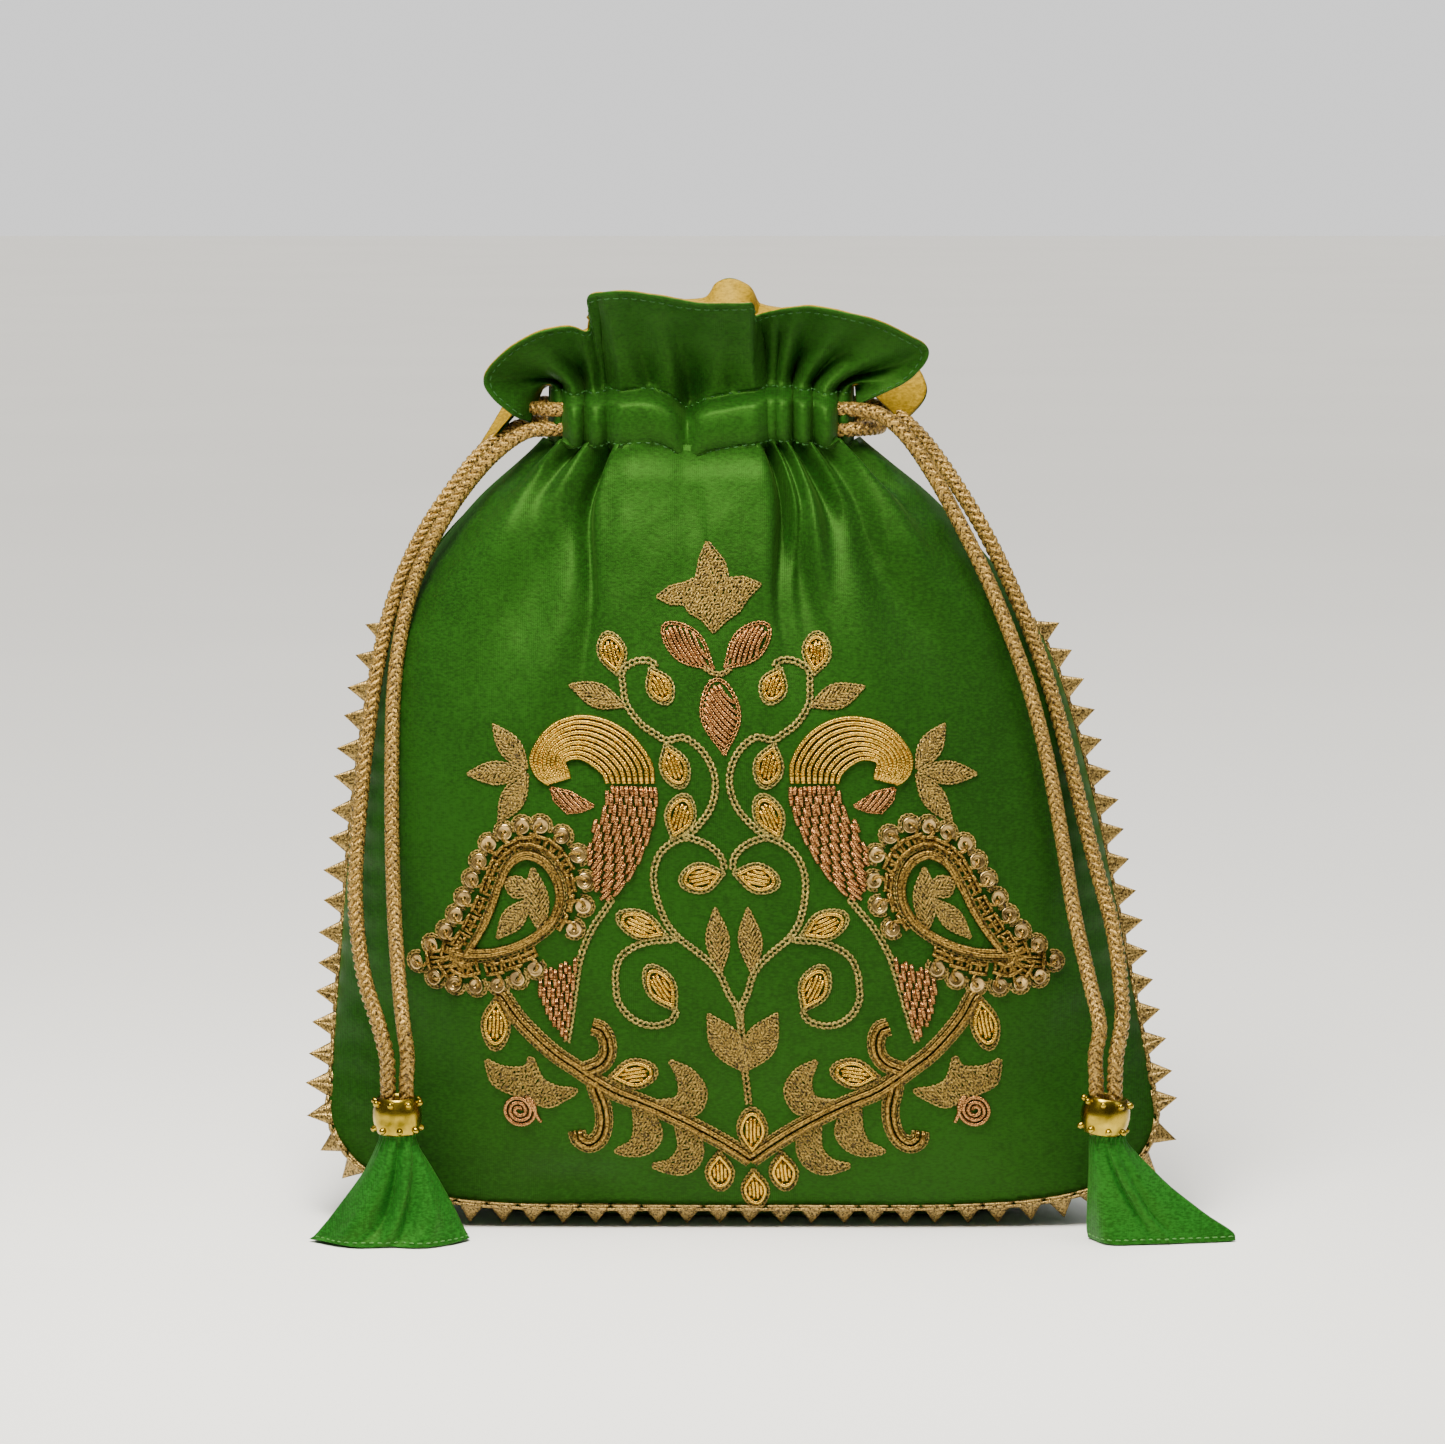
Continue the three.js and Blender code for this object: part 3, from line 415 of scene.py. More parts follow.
def cloth_grid(side, columns=420):
    """One half of the sack's cloth, from the base seam to the frill's rim, as rows of points; also says at
    which rows the channel and the frill begin."""
    front = side < 0
    profile, pleats, rim = (
        (FRONT_PROFILE, FRONT_PLEATS, FRONT_RIM) if front else (BACK_PROFILE, BACK_PLEATS, BACK_RIM)
    )
    body_rows, channel_rows, frill_rows = (120 if front else 160), 20, 34
    u0 = np.sin(np.linspace(-1, 1, columns) * math.pi / 2) * 0.5 + np.linspace(-1, 1, columns) * 0.5
    q = NECK_X + u0 * HEADER_HALF
    pleat, reach = stations(pleats, q).T
    up = np.linspace(0, 1, body_rows)[:, None] ** 0.9
    rough_z = SEAM_Z + up * (NECK_Z - SEAM_Z)
    # Lower down, pleats run more upright than the sides spread, so they crowd towards the middle.
    narrowing = 1 + 0.65 * soft_step(NECK_Z, 160, rough_z) * soft_step(20, 150, rough_z)
    u = np.sign(u0) * np.abs(u0) ** narrowing
    body = body_point(profile, side, u, np.broadcast_to(up, u.shape))
    z = body[..., 2]
    fade = np.clip((z - reach) / (NECK_Z - reach), 0, 1) ** 1.35
    outward = grid_normals(body) * (1 if front else -1)
    near_seam = 1 - np.abs(u)
    give = 0.55 * ripples(body[..., 0], z, 3 + front, 75) + 0.22 * ripples(body[..., 0], z, 5 + front, 24)
    pucker = 0.5 * np.sin(z * 2 * math.pi / 8.5 + 2 * np.sin(z / 17)) * np.exp(-near_seam * 14)
    amount = pleat * fade + (give + pucker) * soft_step(2, 14, z) * soft_step(0, 0.06, near_seam)
    amount += shoulder_folds(body[..., 0], z, front)
    body = body + outward * amount[..., None]
    body[..., 2] = np.maximum(body[..., 2], 0.15)
    ease = soft_step(196, NECK_Z, z)[..., None] * soft_step(0.0, 0.14, near_seam)[..., None]
    waist = header_base(side, q, pleat, np.full_like(q, CHANNEL_LOW - 1.2))
    body[..., 1:2] = body[..., 1:2] * (1 - ease) + waist[None, :, 1:2] * ease
    levels = np.linspace(CHANNEL_LOW, CHANNEL_HIGH, channel_rows)
    dip = front * -4.2 * np.exp(-np.abs((q + 14.4) / 4.2) ** 1.5)
    channel = np.stack([header_base(side, q, pleat, np.full_like(q, level)) for level in levels])
    channel[..., 2] += dip + 0.9 * np.sin(q / 5.3) - 0.25 * np.abs(pleat)
    part = np.linspace(0, 1, channel_rows)[:, None]
    channel[..., 1] -= side * (1.2 + 2.2 * part) * np.exp(-(((q + 14.4) / 2.4) ** 2)) * front
    edge = stations(rim, q)
    t = np.linspace(0, 1, frill_rows + 1)[1:, None, None]
    start = channel[-1][None]
    away = edge[None] - start
    rise = np.array([0, -side * 5.0, 13.0])
    flop = away * 1.15 + np.array([0, side * 2.0, -4.0])
    frill = (
        (2 * t**3 - 3 * t**2 + 1) * start + (t**3 - 2 * t**2 + t) * rise
        + (3 * t**2 - 2 * t**3) * edge[None] + (t**3 - t**2) * flop
    )
    crease = 1.3 * (1 - t[..., 0]) ** 1.2 * t[..., 0] ** 0.3 * (pleat - pleat.mean())
    for place_q, width, deep in FRONT_VALLEYS if front else BACK_VALLEYS:
        crease = crease - deep * np.exp(-(((q - place_q) / (width * (0.8 + 1.6 * t[..., 0]))) ** 2)) * (
            t[..., 0] ** 0.35 * (1 - t[..., 0]) ** 0.8
        )
    frill[..., 1] += side * crease
    flutter = ripples(frill[..., 0], frill[..., 2], 11 + front, 14)[..., None]
    frill += 0.45 * flutter * t * np.array([0.3, 1, 0.3])
    return np.concatenate([body, channel, frill]), body_rows, body_rows + channel_rows


def shoulder_folds(x, z, front):
    """Long soft folds that run from the gathers out over the shoulders, and slack above the base."""
    if not front:
        return 1.2 * np.sin(x / 9 + z / 40) * soft_step(70, 190, z) * soft_step(210, 190, z)
    folds = [  # where each begins and ends, how wide and how deep it is
        ((-42, 202), (-84, 158), 5.0, 3.0), ((-38, 198), (-70, 140), 6.0, -2.8),
        ((-35, 192), (-47, 122), 5.0, -3.4), ((-34, 180), (-62, 118), 7.0, 2.0),
        ((14, 200), (38, 124), 5.0, 3.0), ((8, 198), (22, 148), 3.6, -3.2),
        ((24, 203), (74, 148), 5.5, 2.8), ((19, 200), (58, 140), 4.5, -3.0),
        ((28, 196), (80, 120), 8.0, -1.6), ((-96, 60), (-60, 20), 9.0, -1.4),
        ((98, 62), (64, 22), 9.0, -1.4), ((-60, 14), (-20, 9), 5.0, -1.6),
    ]
    total = np.zeros_like(x)
    for (x0, z0), (x1, z1), width, deep in folds:
        run = np.array([x1 - x0, z1 - z0])
        length = np.hypot(*run)
        run = run / length
        along = ((x - x0) * run[0] + (z - z0) * run[1]) / length
        across = (x - x0) * run[1] - (z - z0) * run[0]
        spread = width * (0.7 + 1.1 * np.clip(along, 0, 1))
        total += deep * np.exp(-((across / spread) ** 2)) * np.exp(-(((along - 0.45) / 0.42) ** 2))
    return total


def lining_grid(side, cloth, body_end, channel_end):
    """The lining that lies inside a half of the cloth; it leaves room for the cords inside the channel."""
    out = grid_normals(cloth) * (-side)
    row = np.arange(len(cloth))[:, None]
    gap = np.where(row < body_end, 1.35, 0.7)
    lining = cloth - out * gap[..., None]
    crease = side * cloth[..., 1]
    for shift in range(1, 10):  # stay behind the deepest crease nearby
        for way in (-shift, shift):
            crease = np.minimum(crease, side * np.roll(cloth[..., 1], way, 1))
    middle_part = np.abs(np.linspace(-1, 1, cloth.shape[1])) < 0.93
    behind = (row < body_end) & (row > body_end // 2) & middle_part
    lining[..., 1] = np.where(behind, side * np.minimum(side * lining[..., 1], crease - 2.2), lining[..., 1])
    t = np.clip((row - body_end + 3) / (channel_end - body_end + 5), 0, 1)
    room = np.sin(math.pi * t) ** 0.45
    depth = np.abs(cloth[..., 1])
    depth = np.where((row < body_end + 4) & middle_part, np.minimum(depth, crease - 0.9), depth) - 1.3
    inner = np.minimum(depth, 11.7 + 0.5 * np.sin(cloth[..., 0] / 2.3))
    held = room > 0
    lining[..., 1] = np.where(held, side * (depth * (1 - room) + inner * room), lining[..., 1])
    lining[-3:] -= unit(cloth[-1] - cloth[-3]) * 0.5
    middle = lean(lining[..., 2])
    near_side = np.clip(np.abs(lining[..., 0] - middle) / 100, 0, 1) ** 3
    inset = (1.8 + 3.0 * (1 - soft_step(25, 60, lining[..., 2]))) * near_side
    lining[:body_end, :, 0] -= (np.sign(lining[..., 0] - middle) * inset)[:body_end]
    lining[:body_end, :, 2] = np.maximum(lining[:body_end, :, 2], 1.9)
    return lining, out


def stitch_row(line, outward, length=1.7, pause=0.8, radius=0.2):
    """Machine stitches along a line on the cloth: short threads, each end sunk into it."""
    step = 0.2
    path = evenly(np.hstack([line, outward]), step)
    every, long = int((length + pause) / step), int(length / step)
    threads = []
    for first in range(3, len(path) - long, every):
        piece = path[first : first + long : 2]
        sink = np.abs(np.linspace(-1, 1, len(piece)))[:, None] ** 3
        threads.append(piece[:, :3] + piece[:, 3:] * (0.12 - 0.3 * sink))
    return merge([sweep(path, radius, 5) for path in threads])


def turning_frame(path):
    """Directions across a path that turn no more than it does."""
    ahead = unit(np.gradient(path, axis=0))
    first = np.array([0, -1.0, 0]) if abs(ahead[0][1]) < 0.9 else np.array([1.0, 0, 0])
    across = [unit(first - ahead[0] * (first @ ahead[0]))]
    for direction in ahead[1:]:
        across.append(unit(across[-1] - direction * (across[-1] @ direction)))
    across = np.array(across)
    return across, np.cross(ahead, across)


def sweep(path, radius, sides=6, flat=1.0, outward=None, ends=True):
    """Points and faces of a tube along a path; flat squeezes it along outward, its upward direction."""
    path = np.asarray(path, float)
    ahead = unit(np.gradient(path, axis=0))
    if outward is None:
        outward = turning_frame(path)[0]
    outward = np.broadcast_to(outward, path.shape)
    across = unit(np.cross(ahead, outward))
    lift = unit(np.cross(across, ahead))
    angle = np.linspace(0, 2 * math.pi, sides, endpoint=False)[None, :, None]
    radius = np.broadcast_to(radius, len(path))[:, None, None]
    ring = np.cos(angle) * across[:, None] + flat * np.sin(angle) * lift[:, None]
    points = (path[:, None] + radius * ring).reshape(-1, 3)
    faces = grid_faces(sides, len(path), wrap=True).tolist()
    if ends:
        faces.append(list(range(sides))[::-1])
        faces.append([(len(path) - 1) * sides + k for k in range(sides)])
    return points, faces


def merge(parts):
    """Many (points, faces) as one."""
    points, faces, count = [], [], 0
    for p, f in parts:
        points.append(p)
        faces.extend([[i + count for i in face] for face in f])
        count += len(p)
    return np.vstack(points), faces


# ---- Camera, light and floor ----
def add_camera():
    """A long lens a little above the object's middle, looking slightly down on it."""
    data = bpy.data.cameras.new("studio_camera")
    made = bpy.data.objects.new("studio_camera", data)
    bpy.context.scene.collection.objects.link(made)
    aim = Vector((-5.1, -38.0, 135.0)) * MM
    distance, tilt = 1.35, math.radians(7)
    made.location = aim + distance * Vector((0, -math.cos(tilt), math.sin(tilt)))
    made.rotation_euler = (aim - made.location).to_track_quat("-Z", "Y").to_euler()
    data.lens = data.sensor_width * distance / 0.3756
    bpy.context.scene.camera = made


def add_light(name, spot, aim, size, power, colour="#ffffff"):
    data = bpy.data.lights.new(name, "AREA")
    data.shape, data.size, data.energy, data.color = "DISK", size, power, linear(colour)[:3]
    made = bpy.data.objects.new(name, data)
    bpy.context.scene.collection.objects.link(made)
    made.location = spot
    made.rotation_euler = (Vector(aim) - Vector(spot)).to_track_quat("-Z", "Y").to_euler()


def add_sky():
    """Soft light that grows brighter from the horizon up; the background itself is plain and pale."""
    sky = bpy.data.worlds.new("soft_studio")
    bpy.context.scene.world = sky
    sky.use_nodes = True
    tree = sky.node_tree
    lit, out = tree.nodes["Background"], tree.nodes["World Output"]
    where = add_node(tree, "ShaderNodeTexCoord")
    split = add_node(tree, "ShaderNodeSeparateXYZ", {"Vector": where.outputs["Generated"]})
    ramp = add_node(
        tree, "ShaderNodeMapRange",
        {"Value": split.outputs["Z"], "From Min": 0.0, "From Max": 0.9, "To Min": 0.03, "To Max": 0.3},
    )
    tree.links.new(ramp.outputs[0], lit.inputs["Strength"])
    plain = add_node(tree, "ShaderNodeBackground", {"Color": linear("#ffffff"), "Strength": 1.17})
    seen = add_node(tree, "ShaderNodeLightPath")
    mixed = add_node(
        tree, "ShaderNodeMixShader",
        {0: seen.outputs["Is Camera Ray"], 1: lit.outputs[0], 2: plain.outputs[0]},
    )
    lit.inputs["Color"].default_value = linear("#ffffff")
    tree.links.new(mixed.outputs[0], out.inputs["Surface"])


def add_studio():
    """Daylight from above, soft boxes above and behind, a card on the right, and a wide paper floor."""
    add_sky()
    middle = (0, 0, 0.13)
    sun = bpy.data.lights.new("overhead_daylight", "SUN")
    sun.energy, sun.angle, sun.color = 3.4, math.radians(40), linear("#fffaf0")[:3]
    made = bpy.data.objects.new("overhead_daylight", sun)
    bpy.context.scene.collection.objects.link(made)
    made.rotation_euler = Vector((0.05, 0.07, -1)).to_track_quat("-Z", "Y").to_euler()
    add_light("top_softbox", (-0.1, -0.27, 0.54), (-0.01, 0, 0.17), 0.26, 7.0, "#fffaf0")
    add_light("right_card", (1.1, -0.5, 0.7), middle, 0.6, 2)
    add_light("rear_softbox", (0.3, 0.9, 1.3), middle, 0.8, 5)
    edges = (-9000, 9000)
    top, underside = (np.array([[[x, y, z] for x in edges] for y in edges]) for z in (-0.02, -2.0))
    add_mesh("studio_floor", *slab(top, underside), paper("floor_paper"), None, None, False)


add_camera()
add_studio()

# ---- Making the cloth ----
CLOTH_THICK, LINING_THICK = 0.45, 0.4


def facing(grid, side):
    """The grid's columns in the order that turns the faces made from it outward."""
    return grid if side < 0 else grid[:, ::-1]


def add_half(name, side):
    """One half of the sack: green cloth, gold lining and their rows of stitches."""
    cloth, body_end, channel_end = cloth_grid(side)
    lining, out = lining_grid(side, cloth, body_end, channel_end)
    outer = slab(facing(cloth, side), facing(cloth - out * CLOTH_THICK, side))
    green = add_mesh(name + "_cloth", *outer, SATIN_GREEN, None, "satin_green")
    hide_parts(name + "_panel", name + "_channel", name + "_frill")
    inner = slab(facing(lining, side), facing(lining - out * LINING_THICK, side))
    gold = add_mesh(name + "_lining_cloth", *inner, LINING_GOLD, None, "lining_gold")
    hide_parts(name + "_lining", name + "_channel_lining", name + "_frill_lining")
    for level, row in (("lower", body_end), ("upper", channel_end - 1)):
        made = add_mesh(
            f"{name}_channel_{level}_stitches", *stitch_row(cloth[row, 6:-6], out[row, 6:-6]), SEWING_GREEN,
            "sack", "satin_green",
        )
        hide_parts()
    hem_row = stitch_row(cloth[-3, 4:-4], out[-3, 4:-4], 1.9, 0.7, 0.17)
    hem = add_mesh(name + "_hem_stitches", *hem_row, SEWING_GREEN, None, "satin_green")
    for piece in (green, gold, hem):
        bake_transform(piece)
    return cloth, body_end


front_cloth, front_body_end = add_half("front", -1)
add_half("back", 1)

# ---- Laying embroidery on the front cloth ----
STEP_X, STEP_Z = np.arange(-107, 108, 1.0), np.arange(5, 203, 1.0)


def depth_map(cloth, rows):
    """How far forward the front cloth is, over a grid of places one millimetre apart."""
    body = cloth[:rows]
    points = [Vector(p) for p in body.reshape(-1, 3)]
    tree = BVHTree.FromPolygons(points, grid_faces(body.shape[1], rows).tolist())
    found = np.full((len(STEP_Z), len(STEP_X)), -30.0)
    for j, z in enumerate(STEP_Z):
        for i, x in enumerate(STEP_X):
            hit = tree.ray_cast(Vector((x, -200, z)), Vector((0, 1, 0)))[0]
            if hit is not None:
                found[j, i] = hit.y
    return found


DEPTH = depth_map(front_cloth, front_body_end)
SLOPE_Z, SLOPE_X = np.gradient(DEPTH)
WORK_LIFT = 3.5  # the whole design sits this much higher than its drawing


def read_grid(grid, x, z):
    """The grid's value at any place, from the four places round it."""
    i = np.clip(x - STEP_X[0], 0, len(STEP_X) - 1.001)
    j = np.clip(z - STEP_Z[0], 0, len(STEP_Z) - 1.001)
    i0, j0 = i.astype(int), j.astype(int)
    fi, fj = i - i0, j - j0
    top = grid[j0, i0] * (1 - fi) + grid[j0, i0 + 1] * fi
    return top * (1 - fj) + (grid[j0 + 1, i0] * (1 - fi) + grid[j0 + 1, i0 + 1] * fi) * fj


def lay(drawing, height, side=-1):
    """Points on the front cloth, and its outward direction there, for a drawn path of (distance from the
    middle line, height); side 1 mirrors the path to the right half. height is how far off the cloth each
    point lies."""
    drawing = np.asarray(drawing, float)
    d, z = drawing[:, 0], drawing[:, 1]
    if side > 0:
        d = 3 * np.clip(1 - z / 110, 0, None) - d
    x, z = d + lean(z), z + WORK_LIFT
    out = unit(np.stack([read_grid(SLOPE_X, x, z), -np.ones_like(x), read_grid(SLOPE_Z, x, z)], 1))
    base = np.stack([x, read_grid(DEPTH, x, z), z], 1)
    return base + out * np.broadcast_to(height, len(x))[:, None], out


def offset(path, amount):
    """A drawn path moved sideways, to its left for a positive amount."""
    ahead = unit(np.gradient(path, axis=0))
    return path + np.stack([-ahead[:, 1], ahead[:, 0]], 1) * np.reshape(amount, (-1, 1))


def thread(path, radius, side, height=None, sides=5, flat=1.0):
    """A plain thread or wire on the cloth."""
    line, out = lay(path, radius * 0.8 if height is None else height, side)
    return sweep(line, radius, sides, flat, out)


def chain(path, side, width=1.7, pitch=1.45, radius=0.34):
    """Chain stitch: two strands that part and meet again once a stitch."""
    path = evenly(np.asarray(path, float), 0.24)
    run = np.concatenate([[0], np.cumsum(np.linalg.norm(np.diff(path, axis=0), axis=1))])
    open_ = np.abs(np.sin(math.pi * run / pitch)) ** 0.6
    rise = radius * 0.7 + 0.16 * np.cos(2 * math.pi * run / pitch + 0.7)
    strands = []
    for sign in (-1, 1):
        apart = sign * (0.08 + (width / 2 - radius) * open_)
        strands.append(thread(offset(path, apart), radius, side, rise + 0.1 * (sign > 0)))
    return merge(strands)


def coil(path, side, radius=0.42, pitch=0.62, height=None, sink=True):
    """A springy coil of fine wire sewn down: its turns show as ridges, and its ends dip into the cloth."""
    path = evenly(np.asarray(path, float), pitch / 3)
    turn = np.arange(len(path)) % 3
    thick = radius * np.array([1.0, 0.93, 0.8])[turn]
    level = radius * 0.85 if height is None else height
    if sink:
        near_end = np.minimum(np.arange(len(path)), np.arange(len(path))[::-1]) * pitch / 3
        level = level - radius * 1.1 * np.exp(-((near_end / (radius * 1.1)) ** 2))
    line, out = lay(path, level, side)
    return sweep(line, thick, 6, 1.0, out)


def teardrop(base, tip, half, point=1.0, count=28):
    """A closed bud outline from its pointed base round its full end; point above 1 makes a leaf, with both
    ends sharp."""
    base, tip = np.asarray(base, float), np.asarray(tip, float)
    along = tip - base
    across = np.array([-along[1], along[0]]) / np.hypot(*along)
    t = 0.5 - 0.5 * np.cos(np.linspace(0, math.pi, count))
    if point > 1:
        wide = half * np.sin(math.pi * t) ** point
    else:
        wide = half * 1.04 * np.sin(math.pi * t**1.2) ** (1.05 - 0.55 * t)
    left = base + t[:, None] * along + wide[:, None] * across
    right = base + t[:, None] * along - wide[:, None] * across
    return np.vstack([left, right[-2:0:-1]])


def shrink(outline, share):
    """The outline drawn in towards its middle."""
    middle = outline.mean(0)
    return middle + (outline - middle) * share


def closed(path):
    return np.vstack([path, path[:1]])


def inside(points, outline):
    """Which points lie inside a closed outline."""
    x, y = points[:, 0, None], points[:, 1, None]
    x0, y0 = outline[:, 0], outline[:, 1]
    x1, y1 = np.roll(x0, -1), np.roll(y0, -1)
    with np.errstate(divide="ignore", invalid="ignore"):
        crosses = ((y0 > y) != (y1 > y)) & (x < (x1 - x0) * (y - y0) / (y1 - y0) + x0)
    return crosses.sum(1) % 2 == 1


def stitched_fill(outline, side, axis=None, spacing=0.92):
    """Close rows of small loops that cover a shape with matt thread, and a chain round its edge; on a leaf
    they slant away from its middle line on both sides."""
    outline = np.asarray(outline, float)
    low, high = outline.min(0), outline.max(0)
    columns, rows = np.arange(low[0], high[0], spacing), np.arange(low[1], high[1], spacing * 0.78)
    gx, gz = np.meshgrid(columns, rows)
    gx[1::2] += spacing / 2
    spots = np.stack([gx.ravel(), gz.ravel()], 1) + rng.uniform(-0.14, 0.14, (gx.size, 2))
    spots = spots[inside(spots, shrink(outline, 0.94))]
    parts = [chain(closed(outline), side, 1.25, 1.25, 0.26)]
    for spot in spots:
        if axis is None:
            angle = 0.9 + rng.uniform(-0.9, 0.9)
        else:
            run, away = np.subtract(axis[1], axis[0]), spot - axis[0]
            slant = 0.62 if run[0] * away[1] - run[1] * away[0] > 0 else -0.62
            angle = math.atan2(run[1], run[0]) + slant + rng.uniform(-0.2, 0.2)
        reach = np.array([math.cos(angle), math.sin(angle)]) * rng.uniform(0.6, 0.8)
        path = np.array([spot - reach, spot - reach * 0.4, spot + reach * 0.4, spot + reach])
        line, out = lay(path, np.array([0.02, 0.38, 0.4, 0.02]) + rng.uniform(0, 0.14), side)
        parts.append(sweep(line, 0.31, 4, 1.0, out, ends=False))
    return merge(parts)


def leaf_fill(base, tip, half, side, point=1.3):
    """A sewn leaf from its base to its tip, half as wide on each side of its middle line."""
    return stitched_fill(teardrop(base, tip, half, point), side, (base, tip))


def sewn_piece(name, parts, finish, slot, *nodes):
    """One piece of embroidery from its threads; it stands for its CAD nodes."""
    made = add_mesh(name, *merge(parts), finish, "sack", slot)
    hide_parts(*nodes)
    return made


# ---- The design: drawn for the left half; both halves are sewn from it ----
HALVES = {"left": -1, "right": 1}
CREST = ((-50.3, 118.4), [(-58.6, 130), (-66.2, 117.2), (-58.8, 105.2)])
FINIAL = [
    (0, 177.5), (2.2, 174.6), (3.8, 172.6), (4.6, 168), (8.6, 168.4), (12.8, 166.8), (9.4, 163.6), (6.8, 160),
    (3.2, 157.6), (0, 154.7), (-2.6, 158), (-5.5, 159.6), (-7.2, 162), (-10.6, 162), (-13.8, 163.6),
    (-10.4, 166), (-6.6, 166.8), (-3.4, 168.2), (-2.1, 173.4),
]
BUD_STEM = [(-24.5, 144.6), (-23.1, 145.8), (-20.1, 147.2), (-16.8, 147.1), (-15.3, 145.5)]
MAIN_VINE = [
    (-24.5, 144.6), (-24.3, 140.6), (-23.7, 136), (-20.4, 131.1), (-16.6, 128.3), (-13.8, 126.7),
    (-9.5, 127.4), (-5.7, 124.9), (-3.2, 121.3), (-1.9, 117), (-2.2, 112.5), (-3.8, 108.5), (-6.3, 105.3),
    (-9.7, 102.2), (-13.6, 100.4), (-16.6, 98.2), (-18.6, 95), (-19.5, 90.7), (-18.9, 85.4), (-17, 79.5),
    (-14, 75.3), (-9.6, 71.7), (-5.9, 68.4), (-3.5, 65.1), (-1.8, 60.5), (0.2, 56.5), (0.9, 50),
]
MIDDLE_CURL = [(-11, 101.5), (-8.5, 101.1), (-4.7, 99.5), (-1.6, 96.5), (-0.8, 93.2)]
LOWER_CURL = [
    (-14, 75.3), (-16.7, 74.6), (-21.3, 74.3), (-26, 72.6), (-29.4, 70), (-31, 65.8), (-31.1, 62),
    (-30.9, 58.8), (-28.9, 55.2), (-25.4, 52.6), (-21.2, 51.9), (-17.2, 53.3), (-15.6, 55.8),
]
VINE_BUDS = [
    ((-25.4, 143.4), (-27.6, 154.2), 3.3), ((-17, 145.4), (-12.9, 136.4), 3.1),
    ((-14.2, 125.9), (-10.6, 114.6), 3.4), ((-13.9, 100.8), (-9.6, 112.4), 3.5),
    ((-0.8, 92.3), (-12.5, 89.7), 3.5), ((-16.8, 75.6), (-29.5, 81), 3.3),
    ((-15.8, 55.8), (-22.4, 67.6), 3.5),
]
VINE_LEAVES = [((-24.1, 135.5), (-38.2, 140.6), 2.7), ((-3.6, 66), (-3.9, 82.8), 2.6)]
BRANCH = [
    (-62, 60.2), (-60.7, 59.1), (-57.4, 53.9), (-52.8, 48.7), (-47.9, 44.1), (-42.9, 40.5), (-37.9, 36.9),
    (-32.8, 33.9), (-26.4, 31.3), (-20, 28.4), (-13.7, 25.1), (-7.4, 21.5), (-2.3, 18.2), (1.3, 15.6),
]
HOOKS = [
    [
        (-41.5, 39.6), (-39.6, 40.2), (-36.2, 41.8), (-34.4, 44.7), (-34.4, 48.3), (-35.7, 50.8),
        (-37.9, 51.6),
    ],
    [
        (-38.6, 37.3), (-37.9, 34.3), (-36.6, 30), (-36.6, 25.4), (-38.1, 21.5), (-40.9, 19.8),
        (-43.4, 21.2), (-43.9, 23.4),
    ],
]
BRANCH_BUDS = [
    ((-62.3, 59.5), (-63.9, 45.2), 3.3), ((-34.6, 38), (-22, 39.8), 3.5), ((-6.9, 17.9), (-7.2, 7.2), 3.3),
]
CENTRE_BUDS = [((1.9, 16.8), (2.4, 29.6), 3.5), ((1.8, 13), (2.1, 2.4), 3.2)]
CRESCENTS = [
    [
        (-18.2, 42.4), (-12.8, 39.8), (-9.5, 34.6), (-11.1, 29.3), (-14.8, 28.2), (-22.2, 31.2),
        (-17.8, 32), (-16.2, 33.9), (-16.2, 37.9),
    ],
    [
        (-28.5, 29.5), (-23.7, 27.7), (-21.9, 22.8), (-23.9, 18.9), (-28.3, 16.9), (-33.9, 17.9),
        (-30, 20.2), (-28.5, 24.1),
    ],
    [
        (-17.7, 25), (-12.5, 22.5), (-11.4, 17.9), (-13.4, 13.6), (-18.1, 11.7), (-24.5, 13.8),
        (-20.2, 15.1), (-17.3, 18.9),
    ],
]
BLOSSOM = [
    (-66.3, 42.1), (-61.9, 40.3), (-56.3, 40.5), (-54.5, 43.1), (-52.2, 37.5), (-48.4, 35.2), (-43.4, 34.4),
    (-46.7, 32), (-51, 30.2), (-55.8, 32), (-64.1, 35.4), (-65.9, 39.2),
]
ROSE_AT = np.array([-58.6, 29.0])
ARCH_OUTER = [
    (-18.1, 115.7), (-18.4, 120.3), (-20.8, 124.9), (-24.5, 128.8), (-29.6, 131.5), (-35.4, 132.4),
    (-41.4, 131.1), (-45.5, 128.2), (-48.3, 124.3), (-49.3, 121), (-48.1, 117.4), (-45.3, 115.1),
]
ARCH_INNER = [
    (-29.9, 115.7), (-30.4, 117.6), (-31.6, 119), (-33, 120.2), (-34.8, 121.3), (-36.6, 122), (-38.3, 122),
    (-39.7, 121.7), (-40.7, 121.1), (-40.8, 120), (-40.2, 118.6), (-39.9, 116.7),
]
BEAK = [(-44.7, 114.1), (-39.9, 113.1), (-34, 109.6), (-37.5, 108.2), (-40.8, 107.9), (-43.9, 111)]
NECK_RIGHT = [
    (-16.8, 114.5), (-17, 111.6), (-18, 106.4), (-20.4, 99.8), (-24.1, 92.6), (-28.3, 87.4), (-31.1, 85.1),
]
NECK_LEFT = [
    (-29.3, 114.9), (-31.5, 109.6), (-33.4, 105.7), (-35.3, 101.8), (-36.5, 98.5), (-36.4, 94.6),
    (-35.4, 89.3), (-34, 85.4),
]
BODY_LINE = [
    (-30.5, 85.5), (-32.6, 82.5), (-35.4, 78.9), (-38, 74.3), (-39.9, 69.7), (-41.2, 64.5), (-43.3, 54.2),
    (-44.9, 47.4),
]
TAIL_RIGHT = [(-40.3, 70), (-41.9, 61.4), (-43.3, 54.2), (-44.9, 47.4)]
TAIL_LEFT = [(-49.3, 66.4), (-51.7, 63.8), (-51, 58.2), (-48.1, 51.6), (-44.9, 47.4)]
